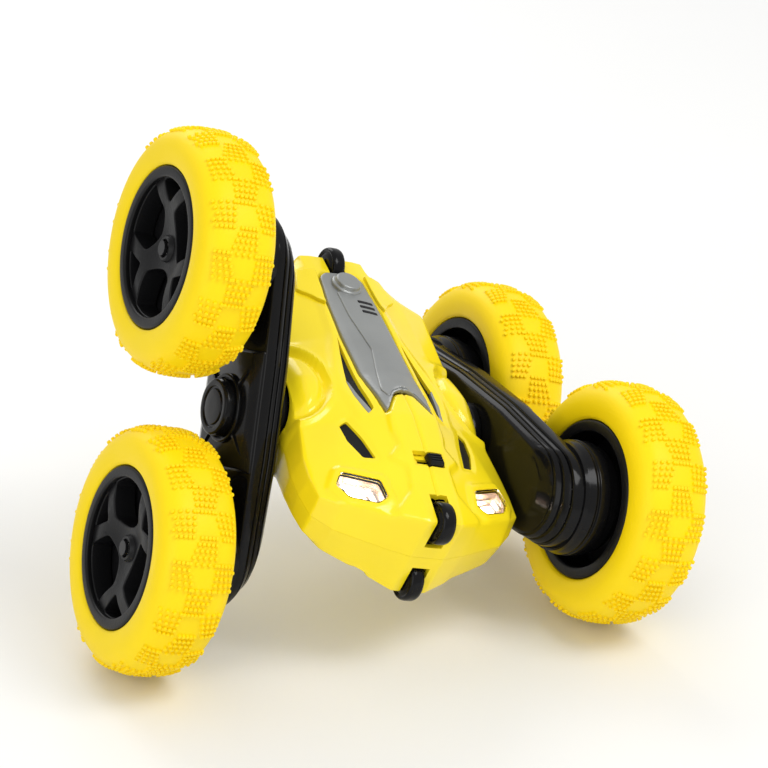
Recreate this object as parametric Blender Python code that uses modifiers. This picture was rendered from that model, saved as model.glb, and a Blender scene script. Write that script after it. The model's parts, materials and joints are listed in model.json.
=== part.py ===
"""Double-sided radio-controlled stunt car: a body between two swinging two-wheel arms.

Car frame: +X across the car to its right, front towards -Y, +Z out of the top shell, origin
where the arms' common pivot axis crosses the middle of the body. The car stands on three
wheels: the right arm lies level, the left arm is swung up and rests on its front wheel only.
"""
import math

import bmesh
import bpy
from mathutils import Vector
from mathutils.bvhtree import BVHTree

MM = 0.001
GAP = 0.3                    # clearance between touching pieces, mm

# Driving dimensions, mm and degrees
AXLE_SPACING = 86.0          # between the two axles of one arm
WHEEL_X = 63.95              # middle of a wheel from the car's middle plane
TYRE_R, TYRE_W = 36.27, 24.0
TYRE_WALL = 2.2
SPOKES_R, SPOKES_X = 22.4, (68.2, 73.6)
AXLE_X = (37.6, 71.4)
RIM_R = 23.6
ARM_SWING = {"left": 72.1, "right": 0.0}
FORK_ANGLES = {"left_rear": 81.0, "left_front": 12.0, "right_rear": 30.0, "right_front": 90.0}
BODY_PITCH = 19.0            # nose down
ARM_IN, ARM_SPLIT, ARM_OUT = 35.8, 40.4, 46.0    # arm case faces and seam, from the middle
ARM_END_R, ARM_MID_H = 15.5, 17.5
CASE_WALL = 1.4
HUB_R, NECK_R, WIRE_R = 10.8, 6.5, 4.2
HUB_X, NECK_X = 28.4, 17.4   # where the hub disc and the pivot neck begin
CUP_R, CUP_TIP_R = 15.4, 14.0
CUP_X = (45.0, 56.4)         # cups round the axles at the ends of an arm
COVER_X = 47.0               # face of the ring round the motor cap
CASE_SCREW_R, CASE_SCREW_SPOT = 1.9, (27, 9.0)
BOSS_R, BOSS_X = 8.5, 50.4   # motor cap
SHELL_WALL = 1.5
SEAM = 0.3                   # half the gap between the two shells
LENS_WALL = 1.2
SCREW_SINK = 6.0             # depth of a shell screw's counterbore
LINER_WALL, LINER_DROP = 0.8, 2.0    # drop below the shell's outer skin
ROLLER_R, ROLLER_W = 6.2, 4.6
NOSE_ROLLER = (54.8, 11.0)   # along, height
TAIL_ROLLER = (-53.9, 16.9)
PIN_R = 1.0
AXLE_R = 1.5
PEG_R = 1.6                  # pegs the compound gears turn on
SHAFT_R = 0.8                # motor shaft
MOTOR_R, MOTOR_X = 7.1, (41.8, 49.2)

# Gear train of an arm: motor pinion, two compound gears, two axle gears
STAGE_1 = {"module": 1.0, "x": (37.5, 39.2)}
STAGE_2 = {"module": 1.5, "x": (39.6, 41.4)}
PINION_TEETH, LARGE_TEETH, SMALL_TEETH, AXLE_TEETH = 9, 27, 18, 15
RUNNING = 0.15               # added to a gear pair's centre distance
ADDENDUM, DEDENDUM = 0.7, 1.05       # of the module
TIP_HALF = 0.035                     # half of a tooth's tip, of the tooth pitch
IDLER_Y = STAGE_1["module"] * (PINION_TEETH + LARGE_TEETH) / 2 + RUNNING

ROUND, MEDIUM, SMALL = 32, 20, 12    # sides of round pieces by size
SIDES = {"left": -1, "right": 1}
ENDS = {"front": -1, "rear": 1}
ACROSS = (math.pi / 2, 0, math.pi / 2)     # lays an XY outline in the YZ plane

# Shell stations from nose to tail: (along, across, height) from the crown to the seam
STATIONS = [
    [(57.6, 0, SEAM), (57.6, 5.5, SEAM), (55.2, 13, SEAM),
     (49.2, 28, SEAM), (44, 33.4, SEAM), (44, 33.4, SEAM)],
    [(57.6, 0, 12.8), (57.6, 5.5, 12.8), (54.2, 13, 11.2),
     (47.6, 27.8, 8.4), (43.4, 33, 6.6), (44, 33.4, SEAM)],
    [(46, 0, 15.0), (45.5, 6, 14.8), (43.5, 13, 13.2),
     (40, 26.8, 10.6), (36, 33.6, 7), (36, 34.4, SEAM)],
    [(34, 0, 18.0), (34, 6, 17.7), (33, 14, 15.4),
     (31, 24.5, 12.2), (28, 33.4, 7.6), (28, 34.2, SEAM)],
    [(20, 0, 20.6), (20, 7.5, 20.2), (19, 14, 17.0),
     (18, 23, 13), (17, 31.6, 9.4), (17, 32.6, SEAM)],
    [(11, 0, 20.8), (11, 7.5, 20.2), (11, 13, 17.6),
     (10, 24, 14.4), (10, 31, 11.8), (10, 32.8, SEAM)],
    [(0, 0, 19.4), (0, 8, 18.8), (0, 13, 17.2),
     (0, 24, 15.2), (0, 31.2, 13.2), (0, 33.2, SEAM)],
    [(-11, 0, 19), (-11, 7.5, 18.8), (-11, 13, 17.2),
     (-10, 24, 14.4), (-10, 31, 11.8), (-10, 32.8, SEAM)],
    [(-18, 0, 19), (-18, 7.5, 18.8), (-18, 13, 17.2),
     (-18, 22.5, 14), (-18, 30.6, 10.5), (-18, 31.6, SEAM)],
    [(-42, 0, 19), (-42, 7.5, 18.9), (-42, 12, 17.8),
     (-42, 20.5, 15.8), (-42, 31.2, 12), (-42, 32.2, SEAM)],
    [(-50, 0, 19), (-50, 7.5, 19), (-50, 11, 18.6),
     (-49.6, 17.2, 15.8), (-49, 22.4, 11.5), (-49, 23.4, SEAM)],
    [(-56.2, 0, 18.9), (-56.2, 7.5, 18.9), (-56.2, 10.8, 18.5),
     (-56.2, 12.4, 14), (-56.2, 13, 9), (-56.2, 13.2, SEAM)],
    [(-56.2, 0, SEAM), (-56.2, 7.5, SEAM), (-56.2, 10.8, SEAM),
     (-56.2, 12.4, SEAM), (-56.2, 13, SEAM), (-56.2, 13.2, SEAM)],
]

# Outlines in the body's plan, right side: (across, along)
HEADLIGHT = [(15.5, 41.6), (26.4, 37.2), (28.6, 41.5), (26.0, 46.2), (18.0, 49.4), (14.6, 47.6)]
HOOD_VENT = [(18.8, 18.0), (21.2, 19.2), (20.7, 25.6), (18.2, 32.6), (14.7, 33.6), (16.4, 25.5)]
SIDE_VENT = [(11.0, -17.3), (13.0, -6.0), (14.6, 3.2), (14.4, 9.3), (12.6, 17.2), (10.6, 15.4),
             (11.2, 5.0), (11.2, -5.0)]
SPINE = [(5.4, -47.4), (7.4, -45.4), (8.6, -34.0), (9.1, -18.0), (9.1, 0.0), (7.6, 18.0),
         (5.4, 14.0), (3.4, 10.6)]
VENT_LINER = [(9.6, -20.5), (14.5, -20.5), (15.4, 10.0), (22.8, 16.0),
              (22.6, 30.0), (19.0, 37.2), (14.0, 36.6), (9.6, 21.6)]
DOOR = [(12.4, -28.0), (12.4, 17.0)]
CHIPS = [((-9, -1), (-10, -2), (3.0, 5.0)), ((2, 10), (-24, -17), (3.0, 7.5)),
         ((-8, -3), (3, 9), (3.0, 6.0))]          # spans across, along and up
SCREW_SPOTS = [(-36, 17), (-36, -17), (26, 5), (26, -5)]      # along, across

for old in list(bpy.data.objects):
    bpy.data.objects.remove(old, do_unlink=True)


def new_collection(name):
    """A collection linked to the scene."""
    made = bpy.data.collections.new(name)
    bpy.context.scene.collection.children.link(made)
    return made


PARTS = new_collection("rc_stunt_car")
CUTTERS = new_collection("cutters")


def finish(name, color, roughness, metallic=0.0, alpha=1.0):
    """A plain Principled material."""
    made = bpy.data.materials.new(name)
    made.use_nodes = True
    shader = made.node_tree.nodes["Principled BSDF"]
    shader.inputs["Base Color"].default_value = (*color, 1)
    shader.inputs["Roughness"].default_value = roughness
    shader.inputs["Metallic"].default_value = metallic
    shader.inputs["Alpha"].default_value = alpha
    return made


YELLOW_SHELL = finish("yellow_shell", (0.95, 0.78, 0.03), 0.25)
YELLOW_TYRE = finish("yellow_tyre", (0.92, 0.68, 0.0), 0.6)
BLACK_GLOSS = finish("black_gloss", (0.012, 0.012, 0.013), 0.2)
BLACK_SATIN = finish("black_satin", (0.02, 0.02, 0.022), 0.45)
GREY_SATIN = finish("grey_satin", (0.3, 0.31, 0.3), 0.35, 0.3)
CLEAR = finish("clear_lens", (0.9, 0.92, 0.95), 0.05, 0.0, 0.35)
STEEL = finish("steel", (0.6, 0.6, 0.62), 0.3, 1.0)
NYLON = finish("white_nylon", (0.85, 0.84, 0.8), 0.45)
CELL = finish("battery_wrap", (0.05, 0.16, 0.45), 0.35)
BOARD = finish("circuit_board", (0.02, 0.16, 0.06), 0.4)
LED = finish("led", (0.95, 0.95, 0.9), 0.1)


def empty(name, parent=None, location=(0, 0, 0), rotation=(0, 0, 0)):
    """A frame that pieces hang on; rotation in degrees."""
    frame = bpy.data.objects.new(name, None)
    PARTS.objects.link(frame)
    frame.parent = parent
    frame.location = Vector(location) * MM
    frame.rotation_euler = [math.radians(angle) for angle in rotation]
    return frame


def add(name, mesh, parent, location=(0, 0, 0), rotation=(0, 0, 0), material=None):
    """A mesh object in its parent's frame; a piece without a material is a cutter."""
    piece = bpy.data.objects.new(name, mesh)
    piece.parent = parent
    piece.location = Vector(location) * MM
    piece.rotation_euler = rotation
    if material is None:
        CUTTERS.objects.link(piece)
        piece.hide_render = True
        piece.display_type = "WIRE"
    else:
        PARTS.objects.link(piece)
        mesh.materials.append(material)
    return piece


def circle(radius, sides=MEDIUM, centre=(0, 0), phase=0.0):
    """Points of a circle in an outline's plane."""
    steps = [phase + 2 * math.pi * k / sides for k in range(sides)]
    return [(centre[0] + radius * math.cos(a), centre[1] + radius * math.sin(a)) for a in steps]


def plate_mesh(name, loops, thickness):
    """A flat outline, with its holes, as a welded mesh of the given thickness."""
    curve = bpy.data.curves.new(name, "CURVE")
    curve.dimensions = "2D"
    curve.fill_mode = "BOTH"
    curve.extrude = thickness / 2 * MM
    for loop in loops:
        spline = curve.splines.new("POLY")
        spline.points.add(len(loop) - 1)
        for point, (x, y) in zip(spline.points, loop):
            point.co = (x * MM, y * MM, 0, 1)
        spline.use_cyclic_u = True
    holder = bpy.data.objects.new(name, curve)
    CUTTERS.objects.link(holder)
    view = bpy.context.evaluated_depsgraph_get()
    mesh = bpy.data.meshes.new_from_object(holder.evaluated_get(view))
    bpy.data.objects.remove(holder)
    cage = bmesh.new()
    cage.from_mesh(mesh)
    bmesh.ops.remove_doubles(cage, verts=cage.verts, dist=0.00001)
    bmesh.ops.recalc_face_normals(cage, faces=cage.faces)
    cage.to_mesh(mesh)
    cage.free()
    return mesh


def box_mesh(name, size, centre=(0, 0, 0)):
    """A box of the given size, mm."""
    cage = bmesh.new()
    bmesh.ops.create_cube(cage, size=1)
    bmesh.ops.scale(cage, vec=Vector(size) * MM, verts=cage.verts)
    bmesh.ops.translate(cage, vec=Vector(centre) * MM, verts=cage.verts)
    mesh = bpy.data.meshes.new(name)
    cage.to_mesh(mesh)
    cage.free()
    return mesh


def rod_mesh(name, radius, length, sides=SMALL, tip_radius=None):
    """A cylinder or cone frustum along Z, centred."""
    cage = bmesh.new()
    tip = radius if tip_radius is None else tip_radius
    bmesh.ops.create_cone(cage, cap_ends=True, segments=sides, radius1=radius * MM, radius2=tip * MM,
                          depth=length * MM)
    mesh = bpy.data.meshes.new(name)
    cage.to_mesh(mesh)
    cage.free()
    return mesh


def turned_mesh(name, profile, closed=False):
    """A profile of (radius, height) points, down its outer side, for a Screw modifier."""
    cage = bmesh.new()
    points = [cage.verts.new((radius * MM, 0, height * MM)) for radius, height in profile]
    for first, second in zip(points, points[1:]):
        cage.edges.new((first, second))
    if closed:
        cage.edges.new((points[-1], points[0]))
    mesh = bpy.data.meshes.new(name)
    cage.to_mesh(mesh)
    cage.free()
    return mesh


def turn(piece, sides=MEDIUM):
    """Spin a profile about its local Z."""
    screw = piece.modifiers.new("turn", "SCREW")
    screw.axis = "Z"
    screw.steps = sides
    screw.render_steps = sides
    screw.use_merge_vertices = True
    screw.merge_threshold = 0.00001
    screw.use_smooth_shade = True


def combine(piece, other, operation="DIFFERENCE", solver="EXACT"):
    """A Boolean of a piece with another object."""
    step = piece.modifiers.new(operation.lower(), "BOOLEAN")
    step.operation = operation
    step.solver = solver
    step.object = other


def soften(piece, width, segments=2):
    """Rounded edges."""
    bevel = piece.modifiers.new("bevel", "BEVEL")
    bevel.width = width * MM
    bevel.segments = segments
    bevel.limit_method = "ANGLE"
    bevel.angle_limit = math.radians(40)


def x_rod(name, radius, x_from, x_to, parent, centre=(0, 0), material=None, sides=SMALL, tip_radius=None):
    """A rod along X between two places, at (y, z)."""
    low, high = sorted((x_from, x_to))
    mesh = rod_mesh(name, radius, high - low, sides, tip_radius)
    facing = math.pi / 2 if x_to >= x_from else -math.pi / 2
    middle = (x_from + x_to) / 2
    return add(name, mesh, parent, (middle, *centre), (0, facing, 0), material)


def inset(outline, distance):
    """An outline moved inwards by a distance, corner by corner."""
    area = sum(a[0] * b[1] - b[0] * a[1] for a, b in zip(outline, outline[1:] + outline[:1]))
    turn_sign = 1 if area > 0 else -1
    moved = []
    for before, here, after in zip(outline[-1:] + outline[:-1], outline, outline[1:] + outline[:1]):
        arriving = (Vector(here) - Vector(before)).normalized()
        leaving = (Vector(after) - Vector(here)).normalized()
        normal_1 = Vector((-arriving.y, arriving.x)) * turn_sign
        normal_2 = Vector((-leaving.y, leaving.x)) * turn_sign
        bisector = (normal_1 + normal_2) / (1 + normal_1.dot(normal_2))
        moved.append(tuple(Vector(here) + bisector * distance))
    return moved


def both_sides(outline):
    """A plan outline (across, along) as left and right loops in the body's XY plane."""
    right = [(across, -along) for across, along in outline]
    left = [(-x, y) for x, y in reversed(right)]
    return [right, left]


def shell_mesh(name, upper, lift=0.0):
    """The right half of a shell's outer skin, lofted through the stations."""
    sign = 1 if upper else -1
    cage = bmesh.new()
    known = {}

    def corner(point):
        along, across, height = point
        key = (along, across, height)
        if key not in known:
            place = Vector((across, -along, sign * (height + lift))) * MM
            known[key] = cage.verts.new(place)
        return known[key]

    for row, after in zip(STATIONS, STATIONS[1:]):
        for column in range(len(row) - 1):
            ring = [row[column], row[column + 1], after[column + 1], after[column]]
            corners = []
            for point in ring:
                vertex = corner(point)
                if vertex not in corners:
                    corners.append(vertex)
            if len(corners) > 2:
                cage.faces.new(corners if upper else corners[::-1])
    bmesh.ops.triangulate(cage, faces=cage.faces)
    mesh = bpy.data.meshes.new(name)
    cage.to_mesh(mesh)
    cage.free()
    return mesh


def skin(name, upper, parent, material, lift=0.0, thickness=SHELL_WALL, outwards=False):
    """A mirrored shell skin with its wall."""
    piece = add(name, shell_mesh(name, upper, lift), parent, material=material)
    mirror = piece.modifiers.new("mirror", "MIRROR")
    mirror.use_axis = (True, False, False)
    mirror.merge_threshold = 0.00001
    wall = piece.modifiers.new("wall", "SOLIDIFY")
    wall.thickness = thickness * MM
    wall.offset = 1 if outwards else -1
    wall.use_even_offset = True
    return piece


def roof(along, across):
    """Height of the shell's outer skin, mm."""
    half = shell_mesh("roof_probe", True)
    cage = bmesh.new()
    cage.from_mesh(half)
    tree = BVHTree.FromBMesh(cage)
    cage.free()
    bpy.data.meshes.remove(half)
    above = Vector((abs(across), -along, 60)) * MM
    hit = tree.ray_cast(above, Vector((0, 0, -1)))[0]
    return hit.z / MM


def prism(name, loops, parent, low=-40, high=40):
    """A vertical cutter from plan loops."""
    return add(name, plate_mesh(name, loops, high - low), parent, (0, 0, (low + high) / 2))


def block(name, parent, x, along, height, material=None):
    """A box given by its spans across, along and up."""
    size = (x[1] - x[0], along[1] - along[0], height[1] - height[0])
    centre = (sum(x) / 2, -sum(along) / 2, sum(height) / 2)
    return add(name, box_mesh(name, size), parent, centre, material=material)


# ---------------------------------------------------------------- body

def make_shell(half, parent):
    """A yellow shell with its windows, slots, screw pillars and roller ribs."""
    upper = half == "top"
    sign = 1 if upper else -1
    shell = skin(f"{half}_shell", upper, parent, YELLOW_SHELL)

    for spot, (along, across) in enumerate(SCREW_SPOTS):
        reach = roof(along, across) - 0.7
        low, high = sorted((sign * 1.7, sign * reach))
        mesh = rod_mesh("pillar", 2.8, high - low)
        pillar = add(f"{half}_pillar_{spot}", mesh, parent, (across, -along, (low + high) / 2))
        combine(shell, pillar, "UNION")
    ribs = {"nose": ((50.0, 56.8), (5.0, 12.6)), "tail": ((-55.6, -49.5), (11.0, 18.2))}
    for place, (span, height) in ribs.items():
        for side, lean in SIDES.items():
            x = tuple(sorted((lean * 3.2, lean * 5.4)))
            low, high = sorted((sign * height[0], sign * height[1]))
            rib = block(f"{half}_{place}_rib_{side}", parent, x, span, (low, high))
            combine(shell, rib, "UNION")

    slots = {"nose": ((47.8, 62), (4.0, 24)), "tail": ((-62, -47.0), (10.2, 28))}
    for place, (span, height) in slots.items():
        low, high = sorted((sign * height[0], sign * height[1]))
        slot = block(f"{half}_{place}_slot", parent, (-2.9, 2.9), span, (low, high))
        combine(shell, slot)
    for place, (along, height) in {"nose": NOSE_ROLLER, "tail": TAIL_ROLLER}.items():
        channel = x_rod(f"{half}_{place}_channel", PIN_R + GAP, -6.6, 6.6, parent, (-along, sign * height))
        combine(shell, channel)
    for side, lean in SIDES.items():
        port = x_rod(f"{half}_{side}_port", HUB_R + 0.6, lean * 26, lean * 40, parent, sides=MEDIUM)
        combine(shell, port)
    combine(shell, prism(f"{half}_lens_window", both_sides(HEADLIGHT), parent))
    if upper:
        combine(shell, prism("hood_vent_window", both_sides(HOOD_VENT), parent))
        combine(shell, prism("side_vent_window", both_sides(SIDE_VENT), parent))
        combine(shell, block("switch_window", parent, (-4.7, 5.2), (33.2, 38.2), (8, 24)))
    else:
        opening = [(x, -y) for x, y in DOOR + [(-x, y) for x, y in reversed(DOOR)]]
        combine(shell, prism("door_window", [opening], parent))
        for spot, (along, across) in enumerate(SCREW_SPOTS):
            deep = roof(along, across)
            shank = add(f"shank_{spot}", rod_mesh("shank", 1.5, 40), parent, (across, -along, -20.5))
            combine(shell, shank)
            sink = add(f"sink_{spot}", rod_mesh("sink", 2.6, 20), parent,
                       (across, -along, -deep + SCREW_SINK - 10))
            combine(shell, sink)
    return shell


def make_lenses(parent):
    """Four clear lenses, flush in the shells' headlight windows with the standard gap all round."""
    for half in ("top", "bottom"):
        for side, loop in zip(("right", "left"), both_sides(inset(HEADLIGHT, GAP))):
            name = f"{half}_{side}_headlight_lens"
            lens = skin(name, half == "top", parent, CLEAR, thickness=LENS_WALL)
            combine(lens, prism(f"{name}_trim", [loop], parent), "INTERSECT")


def make_vent_liners(parent):
    """Two black liners that close the top shell's vents from inside."""
    for side, loop in zip(("right", "left"), both_sides(VENT_LINER)):
        name = f"{side}_vent_liner"
        liner = skin(name, True, parent, BLACK_SATIN, -LINER_DROP, LINER_WALL)
        combine(liner, prism(f"{name}_trim", [loop], parent), "INTERSECT")


def make_spine(parent):
    """The grey panel that stands on the top shell, with its round boss."""
    spine = skin("top_spine_panel", True, parent, GREY_SATIN, GAP, 1.6, True)
    right = [(across, -along) for across, along in SPINE]
    outline = right + [(0, -9.5)] + [(-x, y) for x, y in reversed(right)]
    combine(spine, prism("spine_trim", [outline], parent, 14, 24), "INTERSECT")
    boss = add("spine_boss", rod_mesh("spine_boss", 4.0, 2.2, MEDIUM), parent, (0, 41.5, 21.0))
    combine(spine, boss, "UNION")


def make_door(parent):
    """The battery door, flush in the bottom shell, with a flat raised pad and a screw."""
    door = skin("battery_door", False, parent, YELLOW_SHELL)
    right = inset([(x, -y) for x, y in DOOR + [(-x, y) for x, y in reversed(DOOR)]], GAP)
    combine(door, prism("door_trim", [right], parent, -24, -8), "INTERSECT")
    pad = block("door_pad", parent, (-9, 9), (-21, -3), (-19.8, -18.0))
    combine(door, pad, "UNION")
    hole = add("door_hole", rod_mesh("door_hole", 1.5, 20), parent, (0, 24.5, -18))
    combine(door, hole)
    profile = [(0, 21.0), (2.4, 20.6), (2.4, 19.4), (1.2, 19.4), (1.2, 14.8), (0, 14.8)]
    screw = add("battery_door_screw", turned_mesh("door_screw", profile), parent, (0, 24.5, 0),
                (math.pi, 0, 0), STEEL)
    turn(screw, SMALL)


def make_mid_frame(parent):
    """The inner frame plate with the two pivot tubes the arms turn in."""
    outline = [(26.0, 38), (26.0, -36), (20, -42), (-20, -42), (-26.0, -36), (-26.0, 38)]
    holes = [circle(1.6, SMALL, (across, -along)) for along, across in SCREW_SPOTS]
    frame = add("mid_frame", plate_mesh("mid_frame", [[(x, -y) for x, y in outline]] + holes, 2.4), parent,
                material=BLACK_SATIN)
    for side, lean in SIDES.items():
        combine(frame, x_rod(f"{side}_tube", 9.0, lean * 17.2, lean * 27.6, parent, sides=MEDIUM), "UNION")
        combine(frame, x_rod(f"{side}_tube_bore", NECK_R + 0.4, lean * 12, lean * 34, parent, sides=MEDIUM))
        x = tuple(sorted((lean * 17.1, lean * 27)))
        notch = block(f"{side}_led_notch", parent, x, (32, 45), (-5, 5))
        combine(frame, notch)
        combine(frame, x_rod(f"{side}_retainer_room", 9.6, lean * 13.8, lean * 17.2, parent, sides=MEDIUM))


def make_electronics(parent):
    """Battery, circuit board, headlight LEDs and the power switch."""
    battery = block("battery_pack", parent, (-11, 11), (-24, 14), (-14.6, -1.8), CELL)
    soften(battery, 2.0)
    board = block("circuit_board", parent, (-13.4, 13.4), (-31, 14), (1.6, 3.2), BOARD)
    for index, (x, along, height) in enumerate(CHIPS):
        combine(board, block(f"chip_{index}", parent, x, along, height), "UNION")
    for side, lean in SIDES.items():
        x = tuple(sorted((lean * 17.5, lean * 25.5)))
        lights = block(f"{side}_led_board", parent, x, (32.5, 41.5), (-0.8, 0.8), LED)
        for sign in (1, -1):
            mesh = rod_mesh("bulb", 1.6, 5.6)
            bulb = add(f"{side}_bulb_{sign}", mesh, parent, (lean * 21.5, -39, sign * 3.4))
            combine(lights, bulb, "UNION")
    block("switch_housing", parent, (-6.4, 6.4), (32.2, 39.2), (6.8, 11.2), BLACK_SATIN)
    slider = block("power_switch_slider", parent, (0.4, 4.8), (33.7, 37.7), (11.5, 18.6), BLACK_SATIN)
    soften(slider, 0.4, 1)


def make_screws(parent):
    """The four screws that hold the shells together, driven from below."""
    for index, (along, across) in enumerate(SCREW_SPOTS):
        head = roof(along, across) - SCREW_SINK + GAP
        profile = [(0, 1.4), (2.2, 1.2), (2.2, 0), (1.2, 0), (1.2, -head - 1.2), (0, -head - 1.2)]
        screw = add(f"shell_screw_{index + 1}", turned_mesh("shell_screw", profile), parent,
                    (across, -along, -head), (math.pi, 0, 0), STEEL)
        turn(screw, SMALL)


def make_rollers(parent):
    """Four small guard rollers at the nose and tail, each with its own stub axles."""
    outer = [(PIN_R, 6.3), (PIN_R, 2.3), (4.4, 2.3), (ROLLER_R - 0.8, 1.8), (ROLLER_R, 0.6)]
    profile = [(0, 6.3)] + outer + [(radius, -height) for radius, height in reversed(outer)] + [(0, -6.3)]
    for place, (along, height) in {"nose": NOSE_ROLLER, "tail": TAIL_ROLLER}.items():
        for half, sign in {"top": 1, "bottom": -1}.items():
            name = f"{place}_{half}_roller"
            roller = add(name, turned_mesh(name, profile), parent, (0, -along, sign * height),
                         (0, math.pi / 2, 0), BLACK_GLOSS)
            turn(roller, MEDIUM)


def make_body(parent):
    """Everything that moves with the body."""
    for half in ("top", "bottom"):
        make_shell(half, parent)
    make_lenses(parent)
    make_vent_liners(parent)
    make_spine(parent)
    make_door(parent)
    make_mid_frame(parent)
    make_electronics(parent)
    make_rollers(parent)
    make_screws(parent)


# ---------------------------------------------------------------- arms and wheels

def arm_outline(margin=0.0):
    """Long hexagon with round ends, in (y, z)."""
    end, half = AXLE_SPACING / 2, ARM_MID_H - margin
    radius = ARM_END_R - margin
    points = [(-14, half), (14, half)]
    for step in range(7):
        angle = math.radians(81 - 27 * step)
        points.append((end + radius * math.cos(angle), radius * math.sin(angle)))
    points += [(14, -half), (-14, -half)]
    for step in range(7):
        angle = math.radians(-99 - 27 * step)
        points.append((-end + radius * math.cos(angle), radius * math.sin(angle)))
    return points


def x_plate(name, loops, x_from, x_to, parent, material=None, centre=(0, 0)):
    """A flat outline in the YZ plane, between two places along X."""
    mesh = plate_mesh(name, loops, abs(x_to - x_from))
    return add(name, mesh, parent, ((x_from + x_to) / 2, *centre), ACROSS, material)


def gear_outline(teeth, module, phase):
    """Straight-flanked teeth, thinned a little so that meshed gears run free."""
    pitch_r = teeth * module / 2
    tip, root = pitch_r + ADDENDUM * module, pitch_r - DEDENDUM * module
    points = []
    for tooth in range(teeth):
        centre = phase + 2 * math.pi * tooth / teeth
        for radius, half_width in ((root, 0.5), (tip, TIP_HALF), (tip, -TIP_HALF)):
            angle = centre - half_width * 2 * math.pi / teeth
            points.append((radius * math.cos(angle), radius * math.sin(angle)))
    return points


def mesh_phase(driver_teeth, driver_phase, teeth, direction):
    """Phase that puts a gear in mesh with the driver, seen from it in a direction."""
    return direction + math.pi + (math.pi - driver_teeth * (driver_phase - direction)) / teeth


def make_gears(side, arm, lean):
    """Motor pinion, two compound gears; returns the phase of each axle gear."""
    low, high = STAGE_1["x"]
    teeth = [gear_outline(PINION_TEETH, STAGE_1["module"], 0.0), circle(SHAFT_R + GAP, SMALL)]
    root = high - 0.1            # the small gear begins inside the large one
    x_plate(f"{side}_motor_pinion", teeth, lean * low, lean * (root - GAP), arm, NYLON)
    phases = {}
    for end, along in ENDS.items():
        direction = 0.0 if along > 0 else math.pi
        phase = mesh_phase(PINION_TEETH, 0.0, LARGE_TEETH, direction)
        centre = (along * IDLER_Y, 0)
        bore = circle(PEG_R + GAP, SMALL)
        large = [gear_outline(LARGE_TEETH, STAGE_1["module"], phase), bore]
        gear = x_plate(f"{side}_{end}_compound_gear", large, lean * low, lean * high, arm, NYLON, centre)
        little = [gear_outline(SMALL_TEETH, STAGE_2["module"], phase), bore]
        small = x_plate(f"{side}_{end}_small_gear", little, lean * root, lean * STAGE_2["x"][1], arm, None,
                        centre)
        combine(gear, small, "UNION")
        phases[end] = mesh_phase(SMALL_TEETH, phase, AXLE_TEETH, direction)
    return phases


def shape_case(case, other, operation="DIFFERENCE"):
    """A Boolean on a thin gear case, whose many flush faces suit the manifold solver."""
    combine(case, other, operation, "MANIFOLD")


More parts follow.
